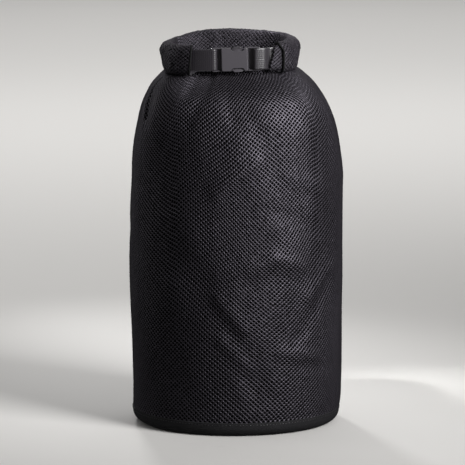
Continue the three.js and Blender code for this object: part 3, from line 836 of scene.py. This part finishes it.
def new_material(name):
    material = bpy.data.materials.new(name)
    material.use_nodes = True
    material.node_tree.nodes.clear()
    return material, material.node_tree


def finish_material(tree, values, links=None):
    """The shader with its values and links, and the output that shows it."""
    shader = add(tree, "ShaderNodeBsdfPrincipled", values, links)
    add(tree, "ShaderNodeOutputMaterial", links={"Surface": shader.outputs["BSDF"]})


def grain(tree, size_mm, strength, depth_mm):
    """Normals broken up by a fine noise of the given size and depth."""
    place = add(tree, "ShaderNodeTexCoord")
    noise = add(tree, "ShaderNodeTexNoise", {"Scale": 1.0 / (size_mm * MM), "Detail": 2.0},
                {"Vector": place.outputs["Object"]})
    bump = add(tree, "ShaderNodeBump", {"Strength": strength, "Distance": depth_mm * MM},
               {"Height": noise.outputs["Fac"]})
    return bump.outputs["Normal"]


def knitted_mesh_material(name, crest, specular):
    """Warp-knitted polyester: near-black yarn whose tone differs from crest to crest, with painted shade
    darkening it towards the edges of the holes, and the sheen of its filaments.
    """
    material, tree = new_material(name)
    strand = add(tree, "ShaderNodeAttribute", attribute_name="strand")
    # The ramp paints shade: near-black at the edges of the holes, the yarn's own colour at the crests
    ramp = add(tree, "ShaderNodeValToRGB", links={"Fac": strand.outputs["Fac"]})
    ramp.color_ramp.elements[0].color = linear("#0a0a0b")
    ramp.color_ramp.elements[1].color = linear(crest)
    # Filaments of about 0.4 mm break up the light along each yarn
    filaments = grain(tree, size_mm=0.4, strength=0.25, depth_mm=0.2)
    # Yarn that lies low or tucked in is fuzzy and dull, and crests are worn smooth
    fuzz = add(tree, "ShaderNodeMapRange", {"From Max": 0.5, "To Min": 0.62, "To Max": 0.44},
               {"Value": strand.outputs["Fac"]})
    finish_material(tree, {"Specular IOR Level": specular, "Specular Tint": linear("#f4ecfd")},
                    {"Base Color": ramp.outputs["Color"], "Roughness": fuzz.outputs["Result"],
                     "Normal": filaments})
    return material


def inner_face_painted_shade_material():
    """Dense inner face of the knit with a painted-shade finish: near-black, matt and without reflection, so
    the holes show as shadow.
    """
    material, tree = new_material("knitted_polyester_inner_face_painted_shade")
    finish_material(tree, {"Base Color": linear("#070707"), "Roughness": 1.0, "Specular IOR Level": 0.0})
    return material


def grained_material(name, colour, roughness, specular, grain_mm, depth_mm):
    """One colour, with a fine grain of the given size and depth that breaks up the highlights."""
    material, tree = new_material(name)
    values = {"Base Color": linear(colour), "Roughness": roughness, "Specular IOR Level": specular}
    finish_material(tree, values, {"Normal": grain(tree, grain_mm, GRAIN_STRENGTH, depth_mm)})
    return material


def woven_material():
    """Plain-woven polyester of the base: dull black, with the small chequer of its yarns."""
    material, tree = new_material("woven_base_polyester")
    place = add(tree, "ShaderNodeUVMap", uv_map="OFBake")
    parts = add(tree, "ShaderNodeSeparateXYZ", links={"Vector": place.outputs["UV"]})
    waves = []
    for axis, length in (("X", 2.0 * math.pi * BASE_RADIUS), ("Y", BASE_RADIUS + BASE_SEAM)):
        cycles = length / (2.0 * BASE_YARN) * 2.0 * math.pi
        turn = add(tree, "ShaderNodeMath", {1: cycles}, {0: parts.outputs[axis]}, operation="MULTIPLY")
        wave = add(tree, "ShaderNodeMath", links={0: turn.outputs["Value"]}, operation="SINE")
        waves.append(wave.outputs["Value"])
    chequer = add(tree, "ShaderNodeMath", links={0: waves[0], 1: waves[1]}, operation="MULTIPLY")
    bump = add(tree, "ShaderNodeBump", {"Strength": 0.5, "Distance": 0.2 * MM},
               {"Height": chequer.outputs["Value"]})
    finish_material(tree, {"Base Color": linear("#171619"), "Roughness": 0.75, "Specular IOR Level": 0.4},
                    {"Normal": bump.outputs["Normal"]})
    return material


# Blender's own tools for modelling

def only(piece):
    """Make one piece the selected and active one."""
    bpy.ops.object.select_all(action="DESELECT")
    piece.select_set(True)
    bpy.context.view_layer.objects.active = piece


def placed(name, scale=(1.0, 1.0, 1.0)):
    """The primitive just added, with its name, and its scale and place applied."""
    made = bpy.context.object
    only(made)
    made.name = name
    made.scale = scale
    bpy.ops.object.transform_apply(location=True, rotation=True, scale=True)
    return made


def block(name, low, high):
    """Box between two corners, in millimetres."""
    middle = (Vector(low) + Vector(high)) / 2.0
    bpy.ops.mesh.primitive_cube_add(size=1.0, location=middle * MM)
    return placed(name, (Vector(high) - Vector(low)) * MM)


def slab(name, left, right, half_thickness, half_height):
    """Box with its middle on the buckle's own X axis, in millimetres."""
    return block(name, (left, -half_thickness, -half_height), (right, half_thickness, half_height))


def edit(piece, kind, chosen, tool, **settings):
    """Use a mesh tool on the points, edges or faces for whose corners, in millimetres, chosen holds."""
    only(piece)
    bpy.ops.object.mode_set(mode="EDIT")
    bpy.ops.mesh.select_mode(type=kind)
    bpy.ops.mesh.select_all(action="DESELECT")
    bpy.ops.object.mode_set(mode="OBJECT")
    mesh = piece.data
    points = [vertex.co / MM for vertex in mesh.vertices]
    for item in {"VERT": mesh.vertices, "EDGE": mesh.edges, "FACE": mesh.polygons}[kind]:
        corners = [item.index] if kind == "VERT" else item.vertices
        item.select = chosen(*(points[k] for k in corners))
    bpy.ops.object.mode_set(mode="EDIT")
    tool(**settings)
    bpy.ops.object.mode_set(mode="OBJECT")


def round_edges(piece, chosen, width, segments):
    """Bevel the edges for which chosen(one end, other end) holds, in millimetres."""
    edit(piece, "EDGE", chosen, bpy.ops.mesh.bevel, offset=width * MM, segments=segments, affect="EDGES")


def modify(piece, kind, **settings):
    """Add a modifier and apply it."""
    only(piece)
    modifier = piece.modifiers.new(kind.lower(), kind)
    for name, value in settings.items():
        setattr(modifier, name, value)
    bpy.ops.object.modifier_apply(modifier=modifier.name)


def soften(piece, width, segments, angle):
    """Bevel every edge that is sharper than the angle in degrees, in millimetres."""
    modify(piece, "BEVEL", width=width * MM, segments=segments, limit_method="ANGLE",
           angle_limit=math.radians(angle))


def shade_smooth(piece, angle):
    only(piece)
    bpy.ops.object.shade_smooth_by_angle(angle=math.radians(angle))


def combine(piece, other, operation):
    """Join the other piece to this one, or cut it out of this one."""
    modify(piece, "BOOLEAN", object=other, operation=operation, solver="EXACT")
    bpy.data.objects.remove(other)


def runs_in_y(a, b):
    return abs(a.x - b.x) < NEAR and abs(a.z - b.z) < NEAR


# Mesh sack

def make_sack(net_material, face_material):
    lines, length = even_spacing(sack_lines(NET_END), NET_STEPS)
    wall = Surface(lines, True)
    columns = even_count(2.0 * math.pi * WALL_SECTIONS[:, 1].max(), NET_COLUMN)
    rows = even_count(length, NET_ROW)
    cells = net_cells(columns, rows)
    bearing = turn_between(cells[:, 0] * 360.0 / columns, 0.0)
    front = np.abs(bearing) < SACK_FRONT
    parts = (
        ("sack_mesh_front", front),
        ("sack_mesh_back_left", ~front & (bearing < 0.0)),
        ("sack_mesh_back_right", ~front & (bearing >= 0.0)),
    )

    def place(u, v, lift):
        # The cloth is drawn a little out of square, as a filled sack pulls it
        turn = 2.0 * np.pi * u
        held = 4.0 * v * (1.0 - v)

        def drift(waves):
            return sum(share * np.sin(around * turn + up * v + phase) for around, up, phase, share in waves)

        moved_u = u + held * drift(NET_SIDEWAYS) * NET_DRIFT[0] / columns
        moved_v = v + held * drift(NET_UPWARDS) * NET_DRIFT[1] / rows
        return wall.at(moved_u, moved_v, lift)

    net = net_mesh(cells, columns, rows, place, True)
    net_normals = smooth_normals(net[0], net[1])
    for name, chosen in parts:
        points, quads, uv, strand, normals = net_part(net, net_normals, chosen)
        new_piece(name, points, quads, "sack_body", net_material, uv, strand, normals)

    # Inner face behind the net, in the near-black painted-shade finish
    whole = even_spacing(sack_lines(0.0), FACE_STEPS)[0]
    shell = Surface(whole[::FACE_EVERY], True)
    u, v = grid(np.arange(FACE_GRID[0]) / FACE_GRID[0], np.linspace(0.0, FACE_END, FACE_GRID[1]))
    points, quads = thin_wall(shell.at(u, v, INNER_FACE_AT), shell.at(u, v, -WALL), True)
    new_piece("sack_inner_face", points, quads, "sack_body", face_material)


def make_floor_net(net_material):
    """Mesh floor inside the ring, part of the front panel: a flat net laid over the slack floor."""
    span = 2.0 * RING_HALF_WIDTH
    columns = even_count(span, NET_COLUMN)
    rows = even_count(span, NET_ROW)
    cells = net_cells(columns, rows)

    def plan(u, v):
        x = (u - 0.5) * span
        y = (v - 0.5) * span
        bearing = np.degrees(np.arctan2(x, -y))
        return x, y, bearing, np.hypot(x, y) / ring_radius(bearing)

    def place(u, v, lift):
        x, y, bearing, reach = plan(u, v)
        height = floor_height(bearing, np.minimum(reach, FLOOR_REACH[-1]))
        return np.stack([RING_X + x, RING_Y + y, height + lift], axis=-1)

    reach = plan(cells[:, 0] / columns, cells[:, 1] / rows)[3]
    points, quads, uv, strand = net_mesh(cells[reach < FLOOR_NET_REACH], columns, rows, place, False)
    new_piece("sack_mesh_floor", points, quads, "sack_body", net_material, uv, strand)


# Rolled mouth

def make_roll(net_material, under_material, face_material, hem_material):
    lines, length = even_spacing(roll_surface(1.0), COLLAR_STEPS)
    surface = Surface(lines, False)
    path = float(np.mean(np.linalg.norm(np.diff(lines, axis=0), axis=-1).sum(axis=0)))
    columns = even_count(path, COLLAR_COLUMN)
    rows = even_count(length, COLLAR_ROW)
    cells = net_cells(columns, rows)
    # Two layers of mesh are rolled together, and the second shows through the holes of the first
    layers = (
        ("rolled_collar_mesh", 0.0, 0.0, net_material),
        ("rolled_collar_under_mesh", COLLAR_LAYER, 0.5, under_material),
    )
    for name, depth, shift, material in layers:

        def place(u, v, lift):
            apart = depth * (1.0 - COLLAR_CLOSER * smoothstep(*COLLAR_CLOSER_FADE, v))
            moved_u = u + COLLAR_START * (1.0 + 2.0 * shift * v) / columns
            return surface.at(moved_u, v + shift / rows, lift - apart)

        points, quads, uv, strand = net_mesh(cells, columns, rows, place, False, COLLAR_STRAY)
        around = np.empty(len(points))
        around[quads.ravel()] = uv[:, 0]
        wound = np.empty(len(points))
        wound[quads.ravel()] = uv[:, 1]
        # Painted shade: the inside of the ring is drawn darker towards the left
        left_shade = smoothstep(*COLLAR_INSIDE, wound) * smoothstep(*COLLAR_LEFT, around)
        strand = strand * (1.0 - COLLAR_LEFT_PAINTED_SHADE * left_shade)
        # Painted shade: the tucked-in part of the band is drawn darker
        strand = strand * (1.0 - COLLAR_TUCKED_PAINTED_SHADE * smoothstep(*COLLAR_TUCKED, wound))
        new_piece(name, points, quads, "rolled_collar", material, uv, strand)

    # The roll's inner face behind its nets, in the near-black painted-shade finish
    behind = Surface(even_spacing(roll_surface(-1.0), COLLAR_STEPS)[0], False)
    short = FACE_SHORT / path
    count_u, count_v = COLLAR_FACE_GRID
    u, v = grid(np.linspace(short, 1.0 - short, count_u), np.linspace(0.0, 1.0, count_v))
    outer = surface.at(u, v, -COLLAR_LAYER - NET_DEPTH - COLLAR_FACE_BEHIND)
    points, quads = thin_wall(outer, behind.at(u, v, 0.0), False)
    new_piece("rolled_collar_inner_face", points, quads, "rolled_collar", face_material)

    # Folded hem along the cut ends of the roll
    hem_points = []
    hem_quads = []
    wide = HEM_WIDTH / path
    count_u, count_v = HEM_GRID
    for from_u in (0.0, 1.0 - wide):
        u, v = grid(np.linspace(from_u, from_u + wide, count_u), np.linspace(0.0, HEM_TURN, count_v))
        points, quads = thin_wall(surface.at(u, v, HEM_LIFT), behind.at(u, v, -HEM_TUCK), False)
        hem_quads.append(quads + sum(len(part) for part in hem_points))
        hem_points.append(points)
    new_piece("rolled_collar_hem", np.concatenate(hem_points), np.concatenate(hem_quads),
              "rolled_collar", hem_material)


# Webbing

def strap_path(roll_end, inward, bar_x):
    """Middle line of a doubled strap, seen from above: out of the roll, round the bar and back in."""
    bearing = roll_end + inward * np.linspace(STRAP_TUCK, -STRAP_LEAD, LEAD_POINTS)
    front = ring_offset(bearing, STRAP_CORE + STRAP_LAYER, 0.0)[:, :2]
    back = ring_offset(bearing, STRAP_CORE - STRAP_LAYER, 0.0)[:, :2]
    turn = np.radians(np.linspace(LOOP_HALF_TURN, -LOOP_HALF_TURN, LOOP_POINTS))
    radius = BAR_RADIUS + LOOP_ROOM + STRAP_THICKNESS / 2.0
    side = 0 if bar_x < 0.0 else 1
    tilt = math.radians(LOOP_TILT[side])
    x = -math.copysign(radius + LOOP_REACH[side], bar_x) * squared(np.cos(turn), LOOP_SQUARENESS[side])
    y = -radius * squared(np.sin(turn), LOOP_SQUARENESS[side])
    loop_x = bar_x + x * math.cos(tilt) - y * math.sin(tilt)
    loop_y = BUCKLE_Y + x * math.sin(tilt) + y * math.cos(tilt)
    knots = np.concatenate([front, np.stack([loop_x, loop_y], axis=-1), back[::-1]])
    steps = np.linalg.norm(np.diff(knots, axis=0), axis=-1)
    length = np.concatenate([[0.0], np.cumsum(steps)])
    place = np.linspace(0.0, length[-1], round(length[-1] / STRAP_STEP))
    path = [hermite(place, length, knots[:, axis]) for axis in (0, 1)]
    return np.stack(path, axis=-1), place


def make_strap(name, replaced, roll_end, inward, bar_x, material, thread_material):
    """Webbing: a thick band with rounded selvedges, and the small bumps of its weave on both faces."""
    path, place = strap_path(roll_end, inward, bar_x)
    along = unit(np.gradient(path, axis=0))
    normal = np.stack([-along[:, 1], along[:, 0]], axis=-1)
    across = np.linspace(-1.0, 1.0, round(STRAP_WIDTH / STRAP_STEP))
    edge = 1.0 - SELVEDGE_THINNER * np.abs(across) ** SELVEDGE_SQUARENESS
    width = across * STRAP_WIDTH / 2.0
    column = np.floor(width / WEAVE_COLUMN)
    yarn = np.abs(np.sin(np.pi * width / WEAVE_COLUMN)) ** WEAVE_FLATNESS
    float_over = np.sin(np.pi * (place[:, None] / WEAVE_ROW + WEAVE_SHIFT * (column % 2))) ** 2
    relief = WEAVE_DEPTH * edge * yarn * (1.0 - WEAVE_FLOAT + WEAVE_FLOAT * float_over)
    half = STRAP_THICKNESS / 2.0 * edge - WEAVE_DEPTH
    faces = []
    for side in (1.0, -1.0):
        offset = side * (half + relief)
        x = path[:, 0:1] + normal[:, 0:1] * offset
        y = path[:, 1:2] + normal[:, 1:2] * offset
        z = BUCKLE_HEIGHT + RING_SLOPE * x + width[None, :]
        faces.append(np.stack([x, y, z], axis=-1))
    points, quads = thin_wall(faces[0], faces[1], False)
    shade_smooth(new_piece(name, points, quads[:, ::-1], replaced, material), STRAP_SMOOTH)

    # Rows of stitches hold the doubled webbing where it comes out of the roll
    front = faces[0] if inward > 0.0 else faces[1]
    stops = np.searchsorted(place, TACK_FROM + np.arange(TACK_STITCHES) * TACK_STEP)
    rows = np.searchsorted(width, (np.arange(TACK_ROWS) - (TACK_ROWS - 1) / 2.0) * TACK_ROW)
    i, j = (part.ravel() for part in grid(stops, rows))
    thread = front[i + 1, j] - front[i - 1, j]
    out = np.cross(thread, front[i, j + 1] - front[i, j - 1]) * -inward
    make_stitches(name + "_stitching", front[i, j], thread, out, TACK_SIZE, replaced,
                  thread_material)


# Buckle

def strap_frame(body_edge, bar_x, web_x, web_y):
    """Two rails and a rounded bar that a strap loops round, with a thin web behind the slot."""
    away = math.copysign(1.0, bar_x)
    root = body_edge - away * FRAME_LAP
    outer = bar_x + away * BAR_RADIUS
    made = slab("strap_frame", *sorted((root, outer)), FRAME_THICKNESS / 2.0, FRAME_HALF_HEIGHT)
    round_edges(made, lambda a, b: runs_in_y(a, b) and abs(a.x - outer) < NEAR, BAR_RADIUS, 4)
    gap = STRAP_WIDTH / 2.0 + CLEARANCE
    slot = sorted((body_edge - away * SLOT_LAP, bar_x - away * BAR_RADIUS))
    combine(made, slab("strap_slot", *slot, SLOT_CUT, gap), "DIFFERENCE")
    soften(made, FRAME_ROUND, 4, FRAME_SHARP)
    left, right = sorted((root, body_edge + away * web_x))
    reach = gap + SLOT_WEB_LAP
    combine(made, block("web", (left, web_y, -reach), (right, web_y + SLOT_WEB_THICKNESS, reach)), "UNION")
    return made


def finish_buckle_half(piece, name, replaced, material):
    soften(piece, BUCKLE_ROUND, 2, BUCKLE_SHARP)
    shade_smooth(piece, BUCKLE_SMOOTH)
    modify(piece, "WEIGHTED_NORMAL", keep_sharp=True)
    piece.name = name
    piece.rotation_euler = (0.0, -math.atan(RING_SLOPE), 0.0)
    piece.location = (0.0, BUCKLE_Y * MM, BUCKLE_HEIGHT * MM)
    bpy.ops.object.transform_apply(location=True, rotation=True, scale=True)
    declare(piece, replaced, material)


def make_socket(material):
    half = BUCKLE_THICKNESS / 2.0
    socket = slab("socket", SOCKET_LEFT, SOCKET_RIGHT, half, BUCKLE_HALF_HEIGHT)
    round_edges(socket, runs_in_y, SOCKET_CORNER, 8)
    round_edges(socket, lambda a, b: abs(abs(a.y) - half) < NEAR and abs(a.y - b.y) < NEAR, SOCKET_EDGE, 8)
    # Shallow thumb dishes in the face, round the two grips
    for side in (-1.0, 1.0):
        middle = Vector((DISH_X, -half - DISH_AWAY, side * DISH_Z))
        bpy.ops.mesh.primitive_uv_sphere_add(segments=96, ring_count=48, radius=DISH_RADIUS * MM,
                                             location=middle * MM)
        combine(socket, placed("dish"), "DIFFERENCE")
    for side in (-1.0, 1.0):
        low, high = sorted(side * z for z in WINDOW_Z)
        window = block("window", (GRIP_LEFT - WINDOW_LEFT_ROOM, -WINDOW_CUT, low),
                       (GRIP_RIGHT + WINDOW_RIGHT_ROOM, WINDOW_CUT, high))
        inmost = WINDOW_Z[0] + NEAR
        round_edges(window, lambda a, b: runs_in_y(a, b) and abs(a.z) < inmost, WINDOW_CORNER, 10)
        combine(socket, window, "DIFFERENCE")
    right = SOCKET_RIGHT + CAVITY_PAST
    cavity = slab("cavity", CAVITY_LEFT, right, CAVITY_HALF_THICKNESS, CAVITY_HALF_HEIGHT)
    combine(socket, cavity, "DIFFERENCE")
    combine(socket, strap_frame(SOCKET_LEFT, SOCKET_BAR_X, SOCKET_WEB, SOCKET_WEB_Y), "UNION")
    finish_buckle_half(socket, "buckle_socket_moulding", "buckle_socket", material)


def make_plug(material):
    left = SOCKET_RIGHT + CLEARANCE
    right = left + FLANGE
    inside = right - PLUG_SHORT
    thick = ARM_HALF_THICKNESS
    plug = slab("plug", left, right, FLANGE_HALF_THICKNESS, BUCKLE_HALF_HEIGHT)
    round_edges(plug, lambda a, b: True, FLANGE_ROUND, 2)
    combine(plug, slab("root", left - ROOT_LENGTH, inside, thick, ROOT_HALF_HEIGHT), "UNION")
    combine(plug, slab("guide", GUIDE_LEFT, inside, thick, GUIDE_HALF_HEIGHT), "UNION")
    for side in (-1.0, 1.0):
        low, high = sorted(side * z for z in ARM_Z)
        combine(plug, block("arm", (ARM_LEFT, -thick, low), (left, thick, high)), "UNION")
        low, high = sorted((side * GRIP_ROOT, side * GRIP_TOP))
        grip = block("grip", (GRIP_LEFT, GRIP_FACE, low), (GRIP_RIGHT, thick, high))
        edit(grip, "VERT", lambda a: abs(a.z) > GRIP_TOP - NEAR and a.y < 0.0, bpy.ops.transform.translate,
             value=Vector((0.0, -GRIP_SLOPE, 0.0)) * MM)
        round_edges(grip, lambda a, b: runs_in_y(a, b) and abs(a.z) > GRIP_TOP - NEAR, GRIP_CORNER, 8)
        round_edges(grip, lambda a, b: min(abs(a.z), abs(b.z)) > GRIP_EDGE_FROM and max(a.y, b.y) < 0.0,
                    GRIP_EDGE, 4)
        combine(plug, grip, "UNION")
    combine(plug, strap_frame(right, PLUG_BAR_X, PLUG_WEB, PLUG_WEB_Y), "UNION")
    finish_buckle_half(plug, "buckle_plug_moulding", "buckle_plug", material)


# Base

def make_base(material, thread_material):
    """Base: a disc of cloth whose rounded edge turns up to the seam, hollow like a shallow dish."""
    top = BASE_SEAM + BASE_LAP
    bpy.ops.mesh.primitive_cylinder_add(vertices=BASE_SIDES, radius=BASE_RADIUS * MM, depth=top * MM,
                                        location=(0.0, 0.0, top * MM / 2.0))
    base = placed("base_panel_cloth")
    round_edges(base, lambda a, b: a.z < NEAR and b.z < NEAR, BASE_CORNER, 10)
    edit(base, "FACE", lambda *corners: min(a.z for a in corners) > top - NEAR, bpy.ops.mesh.delete,
         type="ONLY_FACE")
    flare = 1.0 + BASE_FLARE / BASE_RADIUS
    edit(base, "VERT", lambda a: a.z > top - NEAR, bpy.ops.transform.resize,
         value=(flare, flare, 1.0), center_override=(0.0, 0.0, 0.0))
    modify(base, "SOLIDIFY", thickness=BASE_WALL * MM, offset=-1.0, use_even_offset=True)
    soften(base, BASE_EDGE, 3, BASE_SHARP)
    shade_smooth(base, BASE_SMOOTH)
    map_base(base)
    declare(base, "base_panel", material)

    count = round(2.0 * math.pi * BASE_RADIUS / STITCH_STEP)
    turn = 2.0 * np.pi * np.arange(count) / count
    outward = np.stack([np.sin(turn), -np.cos(turn), np.zeros(count)], axis=-1)
    along = np.stack([np.cos(turn), np.sin(turn), np.zeros(count)], axis=-1)
    middles = outward * (BASE_RADIUS + STITCH_OUT) + np.array([0.0, 0.0, STITCH_HEIGHT])
    make_stitches("base_panel_stitching", middles, along, outward, STITCH_SIZE, "base_panel",
                  thread_material)


def map_base(base):
    """Map of the base's cloth: once round across, and from its middle to its edge upwards."""
    mesh = base.data
    while mesh.uv_layers:
        mesh.uv_layers.remove(mesh.uv_layers[0])
    layer = mesh.uv_layers.new(name="OFBake")
    for face in mesh.polygons:
        first = None
        for corner in face.loop_indices:
            point = mesh.vertices[mesh.loops[corner].vertex_index].co / MM
            turn = math.atan2(point.x, -point.y) / (2.0 * math.pi)
            if first is None:
                first = turn
            turn -= round(turn - first)
            reach = (math.hypot(point.x, point.y) + point.z) / (BASE_RADIUS + BASE_SEAM)
            layer.data[corner].uv = (turn + 0.5, reach)


# Stage

def make_stage():
    bpy.ops.mesh.primitive_plane_add(size=FLOOR_SIZE, location=(0.0, 0.0, FLOOR_HEIGHT))
    floor = bpy.context.object
    floor.name = "studio_floor"
    floor.data.materials.append(grained_material("pale_paper_floor", "#e9e7e4", 0.9, 0.2, 5.0, 0.05))
    # The photo's sack stands before a dark surround, so the pale floor gives no gloss
    floor.visible_glossy = False

    world = bpy.data.worlds.new("studio")
    bpy.context.scene.world = world
    world.use_nodes = True
    background = world.node_tree.nodes["Background"]
    background.inputs["Color"].default_value = linear("#f2f2f2")
    background.inputs["Strength"].default_value = SKY_STRENGTH
    bpy.context.scene.view_settings.view_transform = "Standard"

    for name, place, aim, size, power, spread in LAMPS:
        light = bpy.data.lights.new(name, "AREA")
        light.size = size
        light.energy = power
        light.spread = math.radians(spread)
        lamp = bpy.data.objects.new(name, light)
        lamp.location = place
        lamp.rotation_euler = (Vector(aim) - Vector(place)).to_track_quat("-Z", "Y").to_euler()
        bpy.context.scene.collection.objects.link(lamp)


def make_camera():
    camera_data = bpy.data.cameras.new("photo_camera")
    camera_data.sensor_width = SENSOR
    camera_data.lens = CAMERA_DISTANCE / MM_PER_PIXEL * SENSOR / PHOTO_SIZE
    camera_data.clip_end = CAMERA_CLIP
    camera = bpy.data.objects.new("photo_camera", camera_data)
    tilt = math.radians(CAMERA_ELEVATION)
    back = Vector((0.0, -math.cos(tilt), math.sin(tilt)))
    camera.location = (AIM + back * CAMERA_DISTANCE) * MM
    camera.rotation_euler = (-back).to_track_quat("-Z", "Y").to_euler()
    bpy.context.scene.collection.objects.link(camera)
    bpy.context.scene.camera = camera


make_camera()
make_stage()
mesh_yarn = knitted_mesh_material("knitted_polyester_mesh", "#252227", 0.9)
# The rolled mouth is two layers deep, drawn as two nets: its outer net's yarn is given a paler colour than
# the sack's as painted light, and its under net's yarn a darker one as painted shade
collar_painted_light_yarn = knitted_mesh_material("collar_mesh_painted_light", "#3e3a40", 0.68)
shaded_yarn = knitted_mesh_material("shaded_polyester_mesh", "#232225", 0.5)
inner_face_painted_shade_black = inner_face_painted_shade_material()
make_sack(mesh_yarn, inner_face_painted_shade_black)
make_floor_net(mesh_yarn)
# Grained materials: name, colour, roughness, specular level, size and depth of the grain
# Folded mesh edge: the same yarn pressed flat, darker and duller than the open net
folded_edge = grained_material("folded_mesh_edge", "#0d0d0e", 0.8, 0.3, 0.8, 0.15)
make_roll(collar_painted_light_yarn, shaded_yarn, inner_face_painted_shade_black, folded_edge)
# Webbing: dense polyester with a sheen that lights up where it folds
webbing = grained_material("polyester_webbing", "#302d32", 0.36, 1.0, 0.5, 0.04)
# Thread: bonded polyester, a little glossier than the cloth it is sewn into
thread = grained_material("polyester_thread", "#242326", 0.4, 0.8, 0.4, 0.05)
# Acetal: satin moulding with a fine spark-eroded grain
acetal = grained_material("black_acetal", "#514e53", 0.3, 0.6, 0.25, 0.01)
right_end = ROLL_RIGHT_END - ROLL_RIGHT_TUCK
make_strap("strap_left_webbing", "strap_left", ROLL_LEFT_END, -1.0, SOCKET_BAR_X, webbing, thread)
make_strap("strap_right_webbing", "strap_right", right_end, 1.0, PLUG_BAR_X, webbing, thread)
make_socket(acetal)
make_plug(acetal)
make_base(woven_material(), thread)
